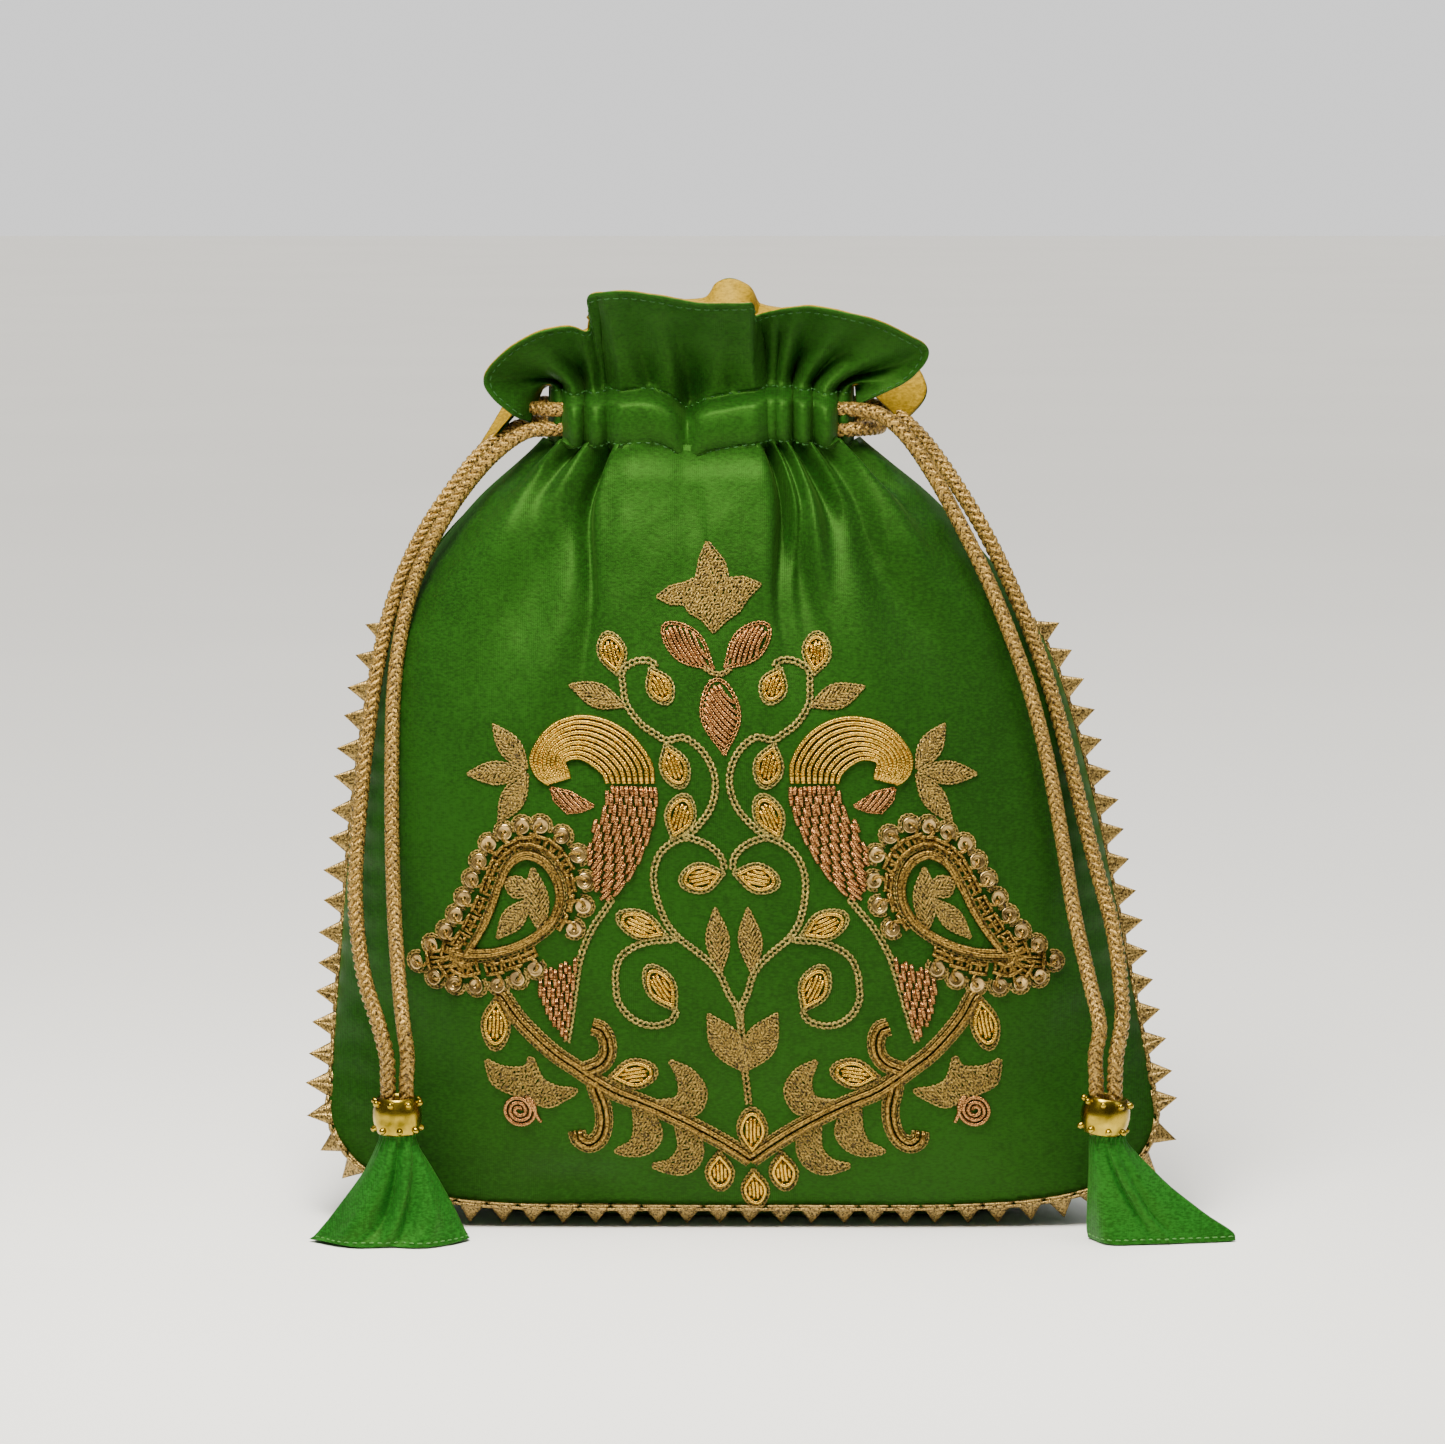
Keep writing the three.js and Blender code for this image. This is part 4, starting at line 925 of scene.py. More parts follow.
WING = [
    (-70, 69.6), (-65.7, 76.2), (-62.7, 82.1), (-60, 88.7), (-57, 94.3), (-52.3, 97.1), (-47.5, 95.4),
    (-44.5, 91), (-43.8, 85.4), (-46.2, 79.5), (-50.7, 75.3), (-56.8, 72), (-63.5, 70),
]
SEQUINS = [
    (-57.5, 102.4), (-52.8, 104.1), (-47.9, 104.4), (-42.5, 101.8), (-38.6, 96.9), (-61.8, 99.2),
    (-64.6, 94.6), (-66.8, 89.8), (-69.2, 84.8), (-71.7, 80.2), (-74.6, 75.9), (-78.6, 72), (-82.8, 67.4),
    (-78.4, 63.6), (-73.2, 62.2), (-67.6, 61.9), (-61.8, 62.4), (-56.6, 64.2), (-51.8, 66.9), (-38.2, 83.6),
    (-37.4, 90.2), (-41, 77.6),
]


def bud_threads(buds, side):
    """For each bud its chain outline, then the bright wire laid round inside it and along its middle."""
    outlines, wires = [], []
    for base, tip, half in buds:
        shape = teardrop(base, tip, half)
        outlines.append(chain(closed(shape), side, 1.15, 1.2, 0.25))
        wires.append(coil(closed(shrink(shape, 0.78)), side, 0.6, sink=False))
        turned = math.atan2(tip[1] - base[1], tip[0] - base[0])
        wires += hatched(shrink(shape, 0.62), turned, 0.98, 0.52, side, bow=0.1)
    return outlines, wires


def hatched(outline, angle, pitch, radius, side, bow=0.5):
    """Thick wires side by side across a shape, at an angle; each bows a little."""
    outline = np.asarray(outline, float)
    along = np.array([math.cos(angle), math.sin(angle)])
    across = np.array([-along[1], along[0]])
    places = outline @ across
    parts = []
    for level in np.arange(places.min() + pitch * 0.6, places.max() - pitch * 0.3, pitch):
        run = np.arange((outline @ along).min(), (outline @ along).max(), 0.1)
        line = along * run[:, None] + across * level
        kept = line[inside(line, outline)]
        if len(kept) < 12:
            continue
        a, b = kept[0], kept[-1]
        t = np.linspace(0, 1, 9)[:, None]
        path = a + (b - a) * t + across * bow * np.sin(math.pi * t)
        parts.append(coil(path, side, radius, 0.74, height=radius * 1.2))
    return parts


def copper_petal(name, base, tip, half, angle):
    """A petal of thick copper wires side by side, with a chain round its edge."""
    shape = teardrop(base, tip, half)
    parts = [chain(closed(shape), -1, 1.1, 1.2, 0.24)]
    parts += hatched(shrink(shape, 0.86), math.radians(angle), 1.16, 0.6, -1)
    return sewn_piece(name, parts, COIL_COPPER, "coil_copper", name)


def sew_rows(left, right, pitch, side, length=4.5, radius=0.62):
    """Short coils laid end to end in rows that follow a shape's right edge, each row shifted by half a
    coil."""
    left, right = evenly(through(left, 12), 0.4), evenly(through(right, 12), 0.4)
    outline = np.vstack([right, left[::-1]])
    ahead = unit(right[-1] - right[-4])
    longer = np.vstack([right, right[-1] + ahead * np.arange(0.4, 8, 0.4)[:, None]])
    way = -1 if np.cross(right[-1] - right[0], left[len(left) // 2] - right[0]) < 0 else 1
    parts = []
    step = 0.2
    every = int(length / step)
    for row in range(14):  # more than any shape needs: the coils that would lie past its edge are left out
        path = evenly(offset(longer, way * (row + 0.5) * pitch), step)
        keep = inside(path, outline)
        start = -int(every * (0.5 if row % 2 else 0.0)) + rng.integers(-2, 3)
        for first in range(start, len(path) - 5, every):
            piece = path[max(first, 0) : first + every - 2][keep[max(first, 0) : first + every - 2]]
            if len(piece) > 7:
                slant = np.linspace(-0.22, 0.22, len(piece))
                parts.append(coil(offset(piece, slant), side, radius, 0.74, height=radius * 1.05))
    return parts


SEQUIN_RINGS = [  # radius and height of each ring, up the dish and back down under it
    (0.42, 0), (0.9, 0.02), (1.5, 0.16), (2.05, 0.42), (2.05, 0.5), (1.5, 0.25), (0.9, 0.1), (0.42, 0.08),
]
SEQUIN_SIDES = 18


def sequin(spot, side):
    """A dished sequin with a pierced middle, tilted a little as it is sewn."""
    line, out = lay([spot], 0.75, side)
    centre, up = line[0], out[0]
    across = unit(np.cross(up, [0, 0, 1.0]))
    other = np.cross(up, across)
    lean_by = rng.uniform(-0.22, 0.22, 2)
    angle = np.linspace(0, 2 * math.pi, SEQUIN_SIDES, endpoint=False)
    rings = []
    for radius, rise in SEQUIN_RINGS:
        flat = np.cos(angle)[:, None] * across + np.sin(angle)[:, None] * other
        tilt = (np.cos(angle) * lean_by[0] + np.sin(angle) * lean_by[1]) * radius
        rings.append(centre + flat * radius + (rise + tilt)[:, None] * up)
    faces = grid_faces(SEQUIN_SIDES, len(rings), wrap=True).tolist()
    return np.vstack(rings), faces + closing_faces(SEQUIN_SIDES, len(rings))


def sew_wing(name, side):
    """A bird's wing: a wrapped double cord round a sprig of leaves, and sequins held by short coils round
    the edge."""
    ring = closed(through(WING)[:-1])
    middle = np.array([-54.5, 84.0])
    cords = [
        coil(middle + (ring - middle) * share, side, 0.74, 0.9, height=height, sink=False)
        for share, height in ((1.0, 0.95), (0.91, 0.8))
    ]
    cords.append(coil([(-70, 69.6), (-75, 71)], side, 0.8, 0.95))
    sewn_piece("wing_cord_" + name, cords, COIL_ANTIQUE, "coil_gold", "wing_cord_" + name)
    leaves = [
        leaf_fill((-49.8, 76.6), (-50.8, 93.2), 2.7, side, 1.15),
        leaf_fill((-52.0, 86.6), (-58.4, 89.8), 2.5, side, 1.1),
        leaf_fill((-52.3, 85.0), (-61.2, 74.8), 2.4, side, 1.3),
        chain(closed(middle + (ring - middle) * 1.1), side, 1.1, 1.2, 0.24),
    ]
    sewn_piece("wing_leaf_" + name, leaves, ZARI_THREAD, "zari_thread", "wing_leaf_" + name)
    discs = [sequin(np.array(spot), side) for spot in SEQUINS]
    sewn_piece("sequins_" + name, discs, SEQUIN_FILM, "sequin", "sequin_border_" + name)
    pieces, rims = [], []
    for spot in SEQUINS:
        spot = np.array(spot)
        nearest = ring[np.argmin(np.linalg.norm(ring - spot, axis=1))]
        away = unit(spot - nearest)
        aside = np.array([-away[1], away[0]])
        reach = np.linalg.norm(spot - nearest) - 1.4
        turn = np.linspace(-2.0, 2.0, 15)[:, None]
        rims.append(chain(spot + 2.6 * (away * np.cos(turn) + aside * np.sin(turn)), side, 1.1, 1.2, 0.25))
        t = np.linspace(0, 1, 9)[:, None]
        loop = spot + away * 0.5 - away * 3.6 * t + aside * 1.25 * np.sin(math.pi * t)
        pieces.append(coil(loop, side, 0.5, 0.66, height=1.15))
        bar = spot - away * 3.0
        pieces.append(coil(bar + aside * np.linspace(-2.3, 2.3, 7)[:, None], side, 0.58, 0.66, height=1.0))
        for lean_by, far in ((-1.9, -0.4), (-0.7, 0.6), (0.7, -0.6), (1.9, 0.4)):
            start, end = spot - away * 3.2 + aside * lean_by, spot - away * reach + aside * (lean_by + far)
            pieces.append(coil(np.array([start, (start + end) / 2, end]), side, 0.52, 0.66, height=0.55))
        inner = spot - away * (reach - 0.9)
        pieces.append(coil(inner + aside * np.linspace(-1.9, 1.9, 7)[:, None], side, 0.52, 0.66, height=0.95))
    sewn_piece("wing_border_coils_" + name, pieces, COIL_ANTIQUE, "coil_gold", "sequin_border_" + name)
    sewn_piece("wing_border_chain_" + name, rims, ZARI_THREAD, "zari_thread", "sequin_border_" + name)


HEAD_ROWS = 9


def sew_bird(name, side):
    """A bird's head of bright wire in arched rows, its copper neck, tail and beak, and the leaves of its
    crest."""
    outer, inner = (evenly(through(edge), 0.4) for edge in (ARCH_OUTER, ARCH_INNER))
    size = 150
    outer, inner = (edge[np.linspace(0, len(edge) - 1, size).astype(int)] for edge in (outer, inner))
    rows = []
    for k in range(HEAD_ROWS):
        crown = 0.6 + 0.5 * math.sin(math.pi * (k + 0.5) / HEAD_ROWS)
        rows.append(coil(outer + (inner - outer) * (k / (HEAD_ROWS - 1)), side, 0.7, 0.72, height=crown))
    sewn_piece("bird_head_" + name, rows, COIL_GOLD, "coil_gold", "bird_head_" + name)
    neck = sew_rows(NECK_LEFT, NECK_RIGHT, 1.24, side, 5.4, 0.7)
    sewn_piece("bird_neck_" + name, neck, COIL_COPPER, "coil_copper", "bird_neck_" + name)
    tail = sew_rows(TAIL_LEFT, TAIL_RIGHT, 1.18, side, 5.0, 0.66)
    sewn_piece("bird_tail_" + name, tail, COIL_COPPER, "coil_copper", "bird_tail_" + name)
    beak = hatched(BEAK, math.radians(132), 1.1, 0.55, side, 0.2)
    beak.append(chain(closed(np.array(BEAK)), side, 1.0, 1.2, 0.22))
    sewn_piece("beak_" + name, beak, COIL_COPPER, "coil_copper", "beak_" + name)
    start, tips = CREST
    leaves = []
    for tip in tips:
        base = np.array(start) + unit(np.subtract(tip, start)) * 0.8
        leaves.append(leaf_fill(base, tip, 2.55, side, 1.15))
    sewn_piece("crest_" + name, leaves, ZARI_THREAD, "zari_thread", "crest_" + name)


def sew_half(name, side):
    """Everything on one half: the vine, the bird and its wing, the blossom with its rose, and the branch."""
    drawn = (BUD_STEM, MAIN_VINE, MIDDLE_CURL, LOWER_CURL, BODY_LINE)
    lines = [chain(through(path), side, 1.9) for path in drawn]
    outlines, wires = bud_threads(VINE_BUDS, side)
    sewn_piece("vine_" + name, lines + outlines, VINE_THREAD, "zari_thread", "vine_" + name)
    sewn_piece("vine_bud_coils_" + name, wires, COIL_GOLD, "coil_gold", "vine_" + name)
    leaves = [leaf_fill(*leaf, side) for leaf in VINE_LEAVES]
    sewn_piece("vine_leaves_" + name, leaves, ZARI_THREAD, "zari_thread", "vine_" + name)
    sew_bird(name, side)
    sew_wing(name, side)
    flower = stitched_fill(through(closed(np.array(BLOSSOM)), 5)[:-1], side)
    sewn_piece("blossom_" + name, [flower], ZARI_THREAD, "zari_thread", "blossom_" + name)
    turn = np.linspace(0, 6.4 * math.pi, 90)
    spiral = ROSE_AT + (0.5 + 4.0 * turn / turn[-1])[:, None] * np.stack([np.cos(turn), np.sin(turn)], 1)
    spiral[-1] = ROSE_AT + (5.4, -3.2)
    rose = coil(spiral, side, 0.6, 0.72)
    sewn_piece("rose_" + name, [rose], COIL_COPPER, "coil_copper", "rose_" + name)
    cords = [BRANCH, *HOOKS]
    ropes = [
        coil(offset(evenly(through(path), 0.5), gap), side, 0.76, 0.95, height=0.8)
        for path in cords for gap in (-0.78, 0.78)
    ]
    outlines, wires = bud_threads(BRANCH_BUDS, side)
    edges = [
        chain(offset(evenly(through(path), 0.5), gap), side, 0.95, 1.25, 0.22)
        for path in cords for gap in (-1.9, 1.9)
    ]
    sewn_piece("branch_cords_" + name, ropes, COIL_ANTIQUE, "coil_gold", "branch")
    sewn_piece("branch_bud_coils_" + name, wires, COIL_GOLD, "coil_gold", "branch")
    leaves = [stitched_fill(through(closed(np.array(c)), 5)[:-1], side) for c in CRESCENTS]
    sewn_piece("branch_leaves_" + name, leaves + outlines + edges, ZARI_THREAD, "zari_thread", "branch")


def sew_middle():
    """The pieces on the middle line: the finial, three copper petals and the sprig."""
    sewn_piece("finial", [stitched_fill(FINIAL, -1)], ZARI_THREAD, "zari_thread", "finial")
    copper_petal("copper_petal_left", (-0.5, 145), (-12.6, 156.2), 4.0, 117)
    copper_petal("copper_petal_right", (2.4, 145.2), (14.2, 156.3), 3.7, 63)
    copper_petal("copper_petal_lower", (1, 122.9), (0.2, 142.3), 4.7, 128)
    smile = [chain([(-3, 145.5), (-1, 144.1), (1, 143.6), (2.6, 144.2), (4, 145.3)], -1, 1.4)]
    stems = [chain([(0.9, 56), (1, 48), (1.2, 39), (1.5, 35), (1.7, 30.7)], -1, 1.9)]
    leaves = [leaf_fill((1, 39.8), tip, 3.7, -1, 1.2) for tip in ((-7.4, 54.8), (10.4, 55))]
    outlines, wires = bud_threads(CENTRE_BUDS, -1)
    sewn_piece("sprig", smile + stems + leaves + outlines, ZARI_THREAD, "zari_thread", "sprig")
    sewn_piece("centre_bud_coils", wires, COIL_GOLD, "coil_gold", "sprig", "branch")


sew_middle()
for half, way in HALVES.items():
    sew_half(half, way)

# ---- Pointed ribbon edging ----
EDGE_PITCH, TOOTH = 8.2, 6.0
TOOTH_STEPS = 24  # points of the seam to a tooth


def seam_line():
    """The side and base seam of the front, from the left shoulder down and round to the right shoulder."""
    side_up = np.linspace(0.73, 0, 160)
    base = np.sin(np.linspace(-1, 1, 260) * math.pi / 2)[1:-1]
    u = np.concatenate([-np.ones(160), base, np.ones(160)])
    up = np.concatenate([side_up, np.zeros(258), side_up[::-1]])
    return body_point(FRONT_PROFILE, -1, u, up)


def add_edging():
    """Gold ribbon folded into a row of points, with a narrow braid along its sewn edge."""
    line = seam_line()
    length = length_of(line)
    teeth = round(length / EDGE_PITCH)
    fine = evenly(line, length / (teeth * TOOTH_STEPS) + 1e-6)
    ahead = unit(np.gradient(fine, axis=0))
    out = np.stack([ahead[:, 2], np.zeros(len(fine)), -ahead[:, 0]], 1)
    out[:, 1] = 0.2 * np.maximum(0, -out[:, 2])
    out = unit(out)
    across = unit(np.cross(ahead, out))
    parts = []
    for k in range(teeth):
        at = np.linspace(k * TOOTH_STEPS, min((k + 1) * TOOTH_STEPS, len(fine) - 1), 13)
        i = at.astype(int)
        u = np.linspace(-1, 1, 13)
        v = np.linspace(0, 1, 9)[:, None]
        base, up, side = fine[i], out[i], across[i]
        tip = base[6] + up[6] * (TOOTH + rng.uniform(-0.5, 0.4)) + ahead[i[6]] * rng.uniform(-0.5, 0.5)
        tip[1] += 3.2 * max(0.0, -up[6][2])  # along the bottom the teeth hang back under the cloth
        if tip[2] < 0.5:
            tip = base[6] + (tip - base[6]) * (base[6, 2] - 0.5) / (base[6, 2] - tip[2])
        root = base - up * 0.9
        narrow = root[None] * (1 - v[..., None]) + tip * v[..., None]
        fold = 1 - 0.5 * np.exp(-((u / 0.12) ** 2)) * (1 - v)
        puff = (1.05 * (1 - v) ** 0.7 * (1 - u**2) ** 0.5 + 0.16) * fold
        ribs = 0.07 * np.sin(np.abs(u) * 16 + v * 12)
        lift = side[None] * (puff + ribs)[..., None]
        parts.append(slab(narrow - lift, narrow + lift))
    parts = [(points, faces.tolist()) for points, faces in parts]
    band = fine[::3] + out[::3] * 0.2
    wave = np.sin(np.arange(len(band)) * math.pi / 2.5)[:, None]
    for sign in (-1, 1):
        yarn = band + sign * wave * (0.55 * across[::3] + 0.3 * out[::3]) - across[::3] * 0.5
        parts.append(sweep(yarn, 0.42, 5))
    made = add_mesh("picot_edging", *merge(parts), RIBBON_GOLD, "sack", "edging_gold")
    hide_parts("ribbon_edging")


# ---- Drawcords ----
RUN_Z = {"left": 209.6, "right": 214.8}
CORD_Y, CORD_WIDTH, STRAND_HALF, STRAND_END = 14.8, 4.4, 2.4, 28.7
CORD_START = 12.5  # how far from the neck's middle a free strand begins
BEAD_AT = {"left": (-89.7, -49.0), "right": (94.5, -49.0)}
STRANDS = {
    ("left", "front"): [
        (-57, -15.5, 208.8), (-64, -15.5, 204), (-71, -14.5, 196.5), (-78, -13.5, 186.5), (-84.5, -13.5, 174),
        (-89, -15.5, 160), (-91.5, -19.5, 143), (-92, -24.5, 123), (-91.8, -29, 102), (-91, -34, 83),
        (-89.6, -41, 68), (-88, -49, 57),
    ],
    ("left", "back"): [
        (-56.5, 14, 209.4), (-62.8, 9, 207.2), (-70, 1, 201.5), (-77.5, -6.5, 192), (-85.2, -8.9, 180),
        (-91.8, -10.9, 165), (-96, -15, 148), (-98.8, -20, 128), (-100.8, -25, 107), (-101.5, -30.5, 87),
        (-99, -38.5, 69), (-94.5, -48, 57),
    ],
    ("right", "front"): [
        (36.5, -15.5, 213.4), (43, -16, 208), (50, -17, 198), (57, -18, 185.5), (64, -19.6, 171.5),
        (70.5, -22, 156), (76, -24.6, 140), (80.5, -27, 122), (84, -29.6, 103), (87, -34.2, 84),
        (90.5, -41.5, 68), (92.8, -49, 57),
    ],
    ("right", "back"): [
        (36.5, 13.5, 213.8), (42.8, 8, 211), (49.5, 0, 204.5), (57, -8, 194), (64.8, -12.8, 181),
        (72, -14.6, 166), (78.5, -15.8, 150), (83.8, -17.8, 133), (88.5, -21, 114), (93, -25.5, 96),
        (97.6, -34, 78), (99, -45, 60),
    ],
}


def braid(path, width, turn=9.5, step=0.55, strands=4):
    """A round braid: as many yarns wind each way, and each rides over and under the others to make columns
    of small arrowheads."""
    path = evenly(path, step)
    across, other = turning_frame(path)
    run = np.arange(len(path)) * step
    yarn = width * 0.185
    parts = []
    for way in (-1, 1):
        for k in range(strands):
            first = 2 * math.pi * k / strands
            angle = way * 2 * math.pi * run / turn + first + (way > 0) * math.pi / strands
            radial = np.cos(angle)[:, None] * across + np.sin(angle)[:, None] * other
            reach = width / 2 - yarn * 0.78 - 0.26 + 0.26 * way * np.sin(2 * angle)
            parts.append(sweep(path + radial * reach[:, None], yarn, 6, 0.78, radial))
    core = sweep(path, width * 0.27, 8)
    return merge([*parts, core])


def strand_path(side, half):
    """The middle line of a free strand: out of the channel, down over the shoulder and through the bead."""
    sign = -1 if side == "left" else 1
    depth = -CORD_Y if half == "front" else CORD_Y
    inner = -sign if half == "front" else sign
    x, y = BEAD_AT[side]
    route = [(NECK_X + sign * d, depth, RUN_Z[side]) for d in (8, 20, 32, 40.5)]
    route += STRANDS[side, half]
    route += [(x + inner * (STRAND_HALF + 0.3), y, 49)]
    route += [(x + inner * STRAND_HALF, y, z) for z in (42, 35, STRAND_END)]
    path = evenly(through(route), 0.55)
    return path[sign * (path[:, 0] - NECK_X) > CORD_START]


def add_cord_run(side):
    """The part of a drawcord that stays at the channel's other end, where it turns from front to back."""
    sign = -1 if side == "left" else 1
    half = [(-24, CORD_Y), (-33, CORD_Y), (-39.5, CORD_Y), (-44, CORD_Y - 4), (-46.5, CORD_Y - 9.5)]
    front = [(NECK_X + sign * x, -y, RUN_Z[side]) for x, y in half]
    back = [(NECK_X + sign * x, y, RUN_Z[side]) for x, y in half][::-1]
    path = through([*front, (NECK_X - sign * 47.2, 0, RUN_Z[side]), *back])
    made = add_mesh(side + "_cord_turn", *braid(path, CORD_WIDTH), BRAID_GOLD, "sack", "cord_gold")
    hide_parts(side + "_cord_run")


BEAD_PROFILE = [  # radius and height, up the outside and down the hole
    (4.4, -4.7), (4.9, -4.9), (5.3, -4.6), (5.5, -4.0), (6.0, -2.9), (6.35, -1.5), (6.45, 0), (6.35, 1.5),
    (6.0, 2.9), (5.5, 4.0), (5.3, 4.6), (4.9, 4.9), (4.4, 4.7), (4.2, 3), (4.2, -3),
]
BEAD_SIDES, BEAD_STUDS, BEAD_MIDDLE_Z = 48, 8, 33.4


def add_bead(side):
    """A round pierced bead with a collar at each end and two rings of studs."""
    x, y = BEAD_AT[side]
    angle = np.linspace(0, 2 * math.pi, BEAD_SIDES, endpoint=False)
    rings = np.array([[(r * math.cos(a), r * math.sin(a), z) for a in angle] for r, z in BEAD_PROFILE])
    faces = grid_faces(BEAD_SIDES, len(BEAD_PROFILE), wrap=True).tolist()
    faces += closing_faces(BEAD_SIDES, len(BEAD_PROFILE))
    parts = [(rings.reshape(-1, 3), faces)]
    reach = 5.75
    for level, shift in ((-3.3, 0.2), (3.3, 0.7)):
        for k in range(BEAD_STUDS):
            a = 2 * math.pi * (k + shift) / BEAD_STUDS
            way = unit(np.array([math.cos(a), math.sin(a), level * 0.14]))
            start = np.array([reach * math.cos(a), reach * math.sin(a), level])
            stud = np.linspace(-0.5, 1.3, 8)[:, None] * way + start
            thick = 0.88 * np.sqrt(np.clip(1 - np.linspace(0, 0.99, 8) ** 5, 0, 1))
            parts.append(sweep(stud, thick, 12))
    points, faces = merge(parts)
    tilt = math.radians(0 if side == "left" else 8)
    sine, cosine = math.sin(tilt), math.cos(tilt)
    turned = points @ np.array([[cosine, 0, -sine], [0, 1, 0], [sine, 0, cosine]])
    placed = turned + (x, y, BEAD_MIDDLE_Z)
    made = add_mesh(side + "_bead_shell", placed, faces, BEAD_BRASS, side + "_bead", "bead_brass")
    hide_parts(side + "_bead")
    return made


def add_knot(side):
    """The overhand knot that keeps a drawcord's end from slipping through its bead."""
    x, y = BEAD_AT[side]
    t = np.linspace(0, 2 * math.pi, 60)
    reach = 1.2 + 0.5 * np.cos(3 * t)
    loop = np.stack([reach * np.cos(2 * t), reach * np.sin(2 * t), 0.9 * np.sin(3 * t)], 1)
    centre = (x + (0 if side == "left" else 0.8), y, 25.8)
    made = add_mesh(
        side + "_knot", *sweep(loop * 1.05 + centre, 0.95, 8), BRAID_GOLD, side + "_cord_free", "cord_gold"
    )
    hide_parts(side + "_cord_knot")
    return made


def loop_points(corners, count):
    """A closed outline through rounded corners, as evenly spaced points that start at the first corner."""
    ring = closed(through([*corners, corners[0]], 20)[:-1])
    return evenly(ring, length_of(ring) / count * 1.0001)[:count]


# The sections of each tassel from its top down: height, then corners of its outline seen from above.
TASSEL_SECTIONS = {
    "left": [
        (29.2, [
            (-4.3, 0), (-3, -3), (0, -4.3), (3, -3), (4.3, 0), (3, 3), (0, 4.3), (-3, 3),
        ]),
        (26, [
            (-5.1, 0), (-3.7, -3.5), (0, -4.6), (3.7, -3.5), (5.1, 0), (3.6, 3.2), (0, 4), (-3.6, 3.2),
        ]),
        (18, [
            (-9.2, 0.4), (-6.4, -5), (0.4, -6.4), (6.6, -4.4), (9.6, 0.2), (6.2, 3.6), (0, 4.6), (-6.4, 3.6),
        ]),
        (9, [
            (-15.6, 0.4), (-9.6, -7.4), (-1, -7.2), (8, -7), (14.4, 0), (8.4, 5.2), (-1, 6.6), (-10, 5),
        ]),
        (3, [
            (-20.4, -0.6), (-11.4, -9), (-2.4, -8.4), (8.2, -9), (17.4, 0), (9.4, 6), (-2, 7.8), (-12.6, 6),
        ]),
        (0.4, [
            (-23.2, -1.6), (-12.4, -9.6), (-2.6, -9.2), (8.6, -9.6), (18.6, 0), (9.8, 6.4), (-2.2, 8.2),
            (-14, 6.6),
        ]),
    ],
    "right": [
        (29.2, [
            (-3.5, 0), (-2.2, -3), (0.8, -4.3), (3.8, -3), (5.1, 0), (3.8, 3), (0.8, 4.3), (-2.2, 3),
        ]),
        (26, [
            (-4, 1), (-3, -2.8), (1, -4.7), (4.6, -3.6), (6, 0), (4.4, 2.8), (0.8, 3.8), (-2.8, 3.2),
        ]),
        (18, [
            (-4.2, 1.6), (-2.4, -4.4), (3, -5.8), (9, -4.8), (13.4, -0.6), (9, 1.6), (2.4, 3.2), (-2.8, 3.6),
        ]),
        (9, [
            (-4.4, 1.8), (-1.2, -5.2), (6, -5.6), (16, -4), (24, -0.8), (16, 1), (5, 2.8), (-2.6, 3.8),
        ]),
        (3, [
            (-4.4, 2), (-0.2, -5.8), (8, -5.8), (21, -4), (33, -1), (21, 1.2), (7, 3), (-2.4, 4),
        ]),
        (0.4, [
            (-4.2, 2), (0.4, -6), (9, -6), (22, -4.2), (34.4, -1.2), (22, 1.2), (7, 3.2), (-2.2, 4.2),
        ]),
    ],
}


# Soft folds: angle round the cone, height down it, width, depth, and how far they wind round it.
TASSEL_FOLDS = {
    "left": [
        (-2.35, 0.62, 0.26, 1.8, -1.3), (-1.85, 0.5, 0.2, -2.4, -1.3), (-1.45, 0.62, 0.2, 2.0, -1.2),
        (-1.0, 0.66, 0.2, -2.0, -1.0), (-0.6, 0.6, 0.24, 1.4, -0.8), (1.2, 0.6, 0.4, -1.4, 0.8),
    ],
    "right": [
        (-1.9, 0.5, 0.12, -1.5, -0.3), (-1.3, 0.6, 0.3, 0.8, 0.6), (-0.9, 0.55, 0.2, -1.0, 0.7),
        (1.3, 0.6, 0.4, -1.2, 0.8),
    ],
}


HEM_AT = 0.9  # where down a tassel its turned hem begins


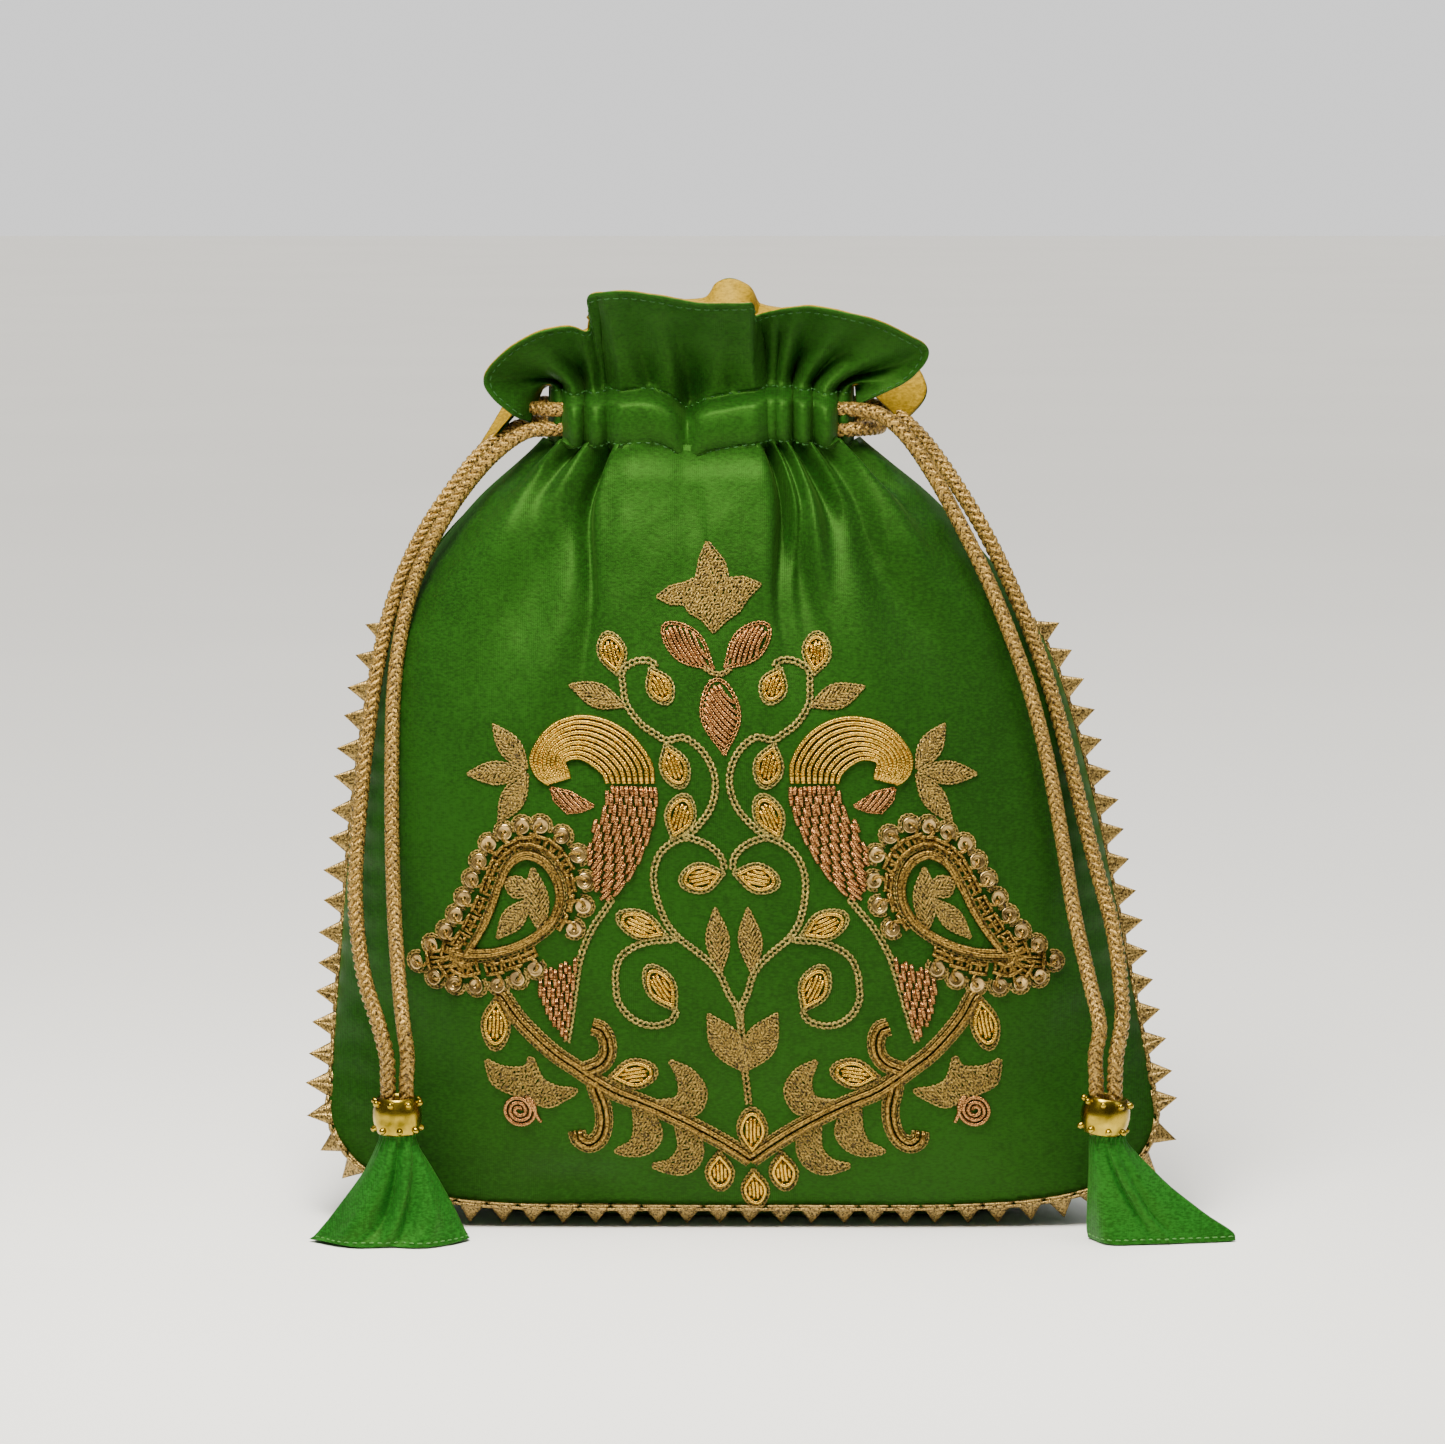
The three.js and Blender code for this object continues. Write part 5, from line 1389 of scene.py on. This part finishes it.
def add_tassel(side):
    """A cone of the same satin, gathered into the bead, with a turned and stitched hem."""
    x, y = BEAD_AT[side]
    count, rows = 120, 60
    sections = TASSEL_SECTIONS[side]
    heights = [z for z, _ in sections]
    loops = np.array([loop_points(corners, count) for _, corners in sections])
    t = np.linspace(0, 1, rows)
    key = np.linspace(0, 1, len(sections))
    flat = loops.reshape(len(sections), -1)
    smooth = stations(np.column_stack([key, heights, flat]), t)
    z, ring = smooth[:, 0], smooth[:, 1:].reshape(rows, count, 2)
    turn = np.arange(count) * 2 * math.pi / count
    gather = 0.22 * np.sin(turn * 22) * np.exp(-((t[:, None] - 0.06) / 0.16) ** 2)
    middle = ring.mean(1, keepdims=True)
    away = unit(ring - middle)
    round_about = np.arctan2(away[..., 1], away[..., 0])
    drape = 0.4 * ripples(*np.meshgrid(turn * 9, t * 26), 21, 17, 2)
    for angle, level, width, deep, slant in TASSEL_FOLDS[side]:
        off = round_about - angle - slant * (t[:, None] - level)
        off = (off + math.pi) % (2 * math.pi) - math.pi
        drape = drape + deep * np.exp(-((off / width) ** 2) - ((t[:, None] - level) / 0.36) ** 2)
    drape = drape * np.sin(math.pi * np.clip(t[:, None] * 0.93, 0, 1)) ** 0.6
    ring = ring + away * (gather + drape)[..., None]
    past_hem = np.clip(t[:, None] - HEM_AT, 0, None)
    lip = np.maximum(0.5 * np.sin(turn * 2 + 1.0) * past_hem * 10 * (side == "left"), 0)
    outer = np.concatenate([ring + (x, y), np.maximum(z[:, None] + lip, 0.2)[..., None]], 2)
    outer = np.concatenate([outer, outer[:, :1]], 1)
    away = np.concatenate([away, away[:, :1]], 1)
    out = np.concatenate([away, np.full((*away.shape[:2], 1), 0.25)], 2)
    thick = np.where(t > HEM_AT, 1.15, 0.5)[:, None, None]
    inner = outer - out * thick
    points = np.concatenate([outer[:, :-1].reshape(-1, 3), inner[:, :-1].reshape(-1, 3)])
    size = rows * count
    faces = np.concatenate([
        grid_faces(count, rows, flip=True, wrap=True), grid_faces(count, rows, size, wrap=True),
    ]).tolist()
    i = np.arange(count)
    j = (i + 1) % count
    last = (rows - 1) * count
    faces += np.stack([last + i, last + size + i, last + size + j, last + j], 1).tolist()
    faces += np.stack([i, j, j + size, i + size], 1).tolist()
    cloth = add_mesh(side + "_tassel_cloth", points, faces, TASSEL_SATIN, side + "_tassel", "satin_green")
    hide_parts(side + "_tassel")
    row = int(rows * HEM_AT) - 1
    hem = add_mesh(
        side + "_tassel_stitches", *stitch_row(outer[row], out[row], 1.5, 0.9, 0.19), SEWING_LIGHT,
        side + "_tassel", "satin_green",
    )
    down, round_it = np.diff(outer[:, :-1], axis=0)[:, :-1], np.diff(outer[:-1], axis=1)[:, :-1]
    area = np.linalg.norm(np.cross(down, round_it), axis=2).sum()
    return cloth, hem, area * MM * MM


def add_cords(side):
    """A drawcord's two free strands, the bead that holds them together, and the knot and tassel below it."""
    bead, knot = add_bead(side), add_knot(side)
    cloth, hem, area = add_tassel(side)
    for half in ("front", "back"):
        path = strand_path(side, half)
        made = add_mesh(f"{side}_{half}_cord", *braid(path, CORD_WIDTH), BRAID_GOLD, None, "cord_gold")
        name = f"{side}_cord_{half}"
        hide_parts(name + "_stub", name + "_strand")
        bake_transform(made)
    add_cord_run(side)


add_edging()
for hand in ("left", "right"):
    add_cords(hand)
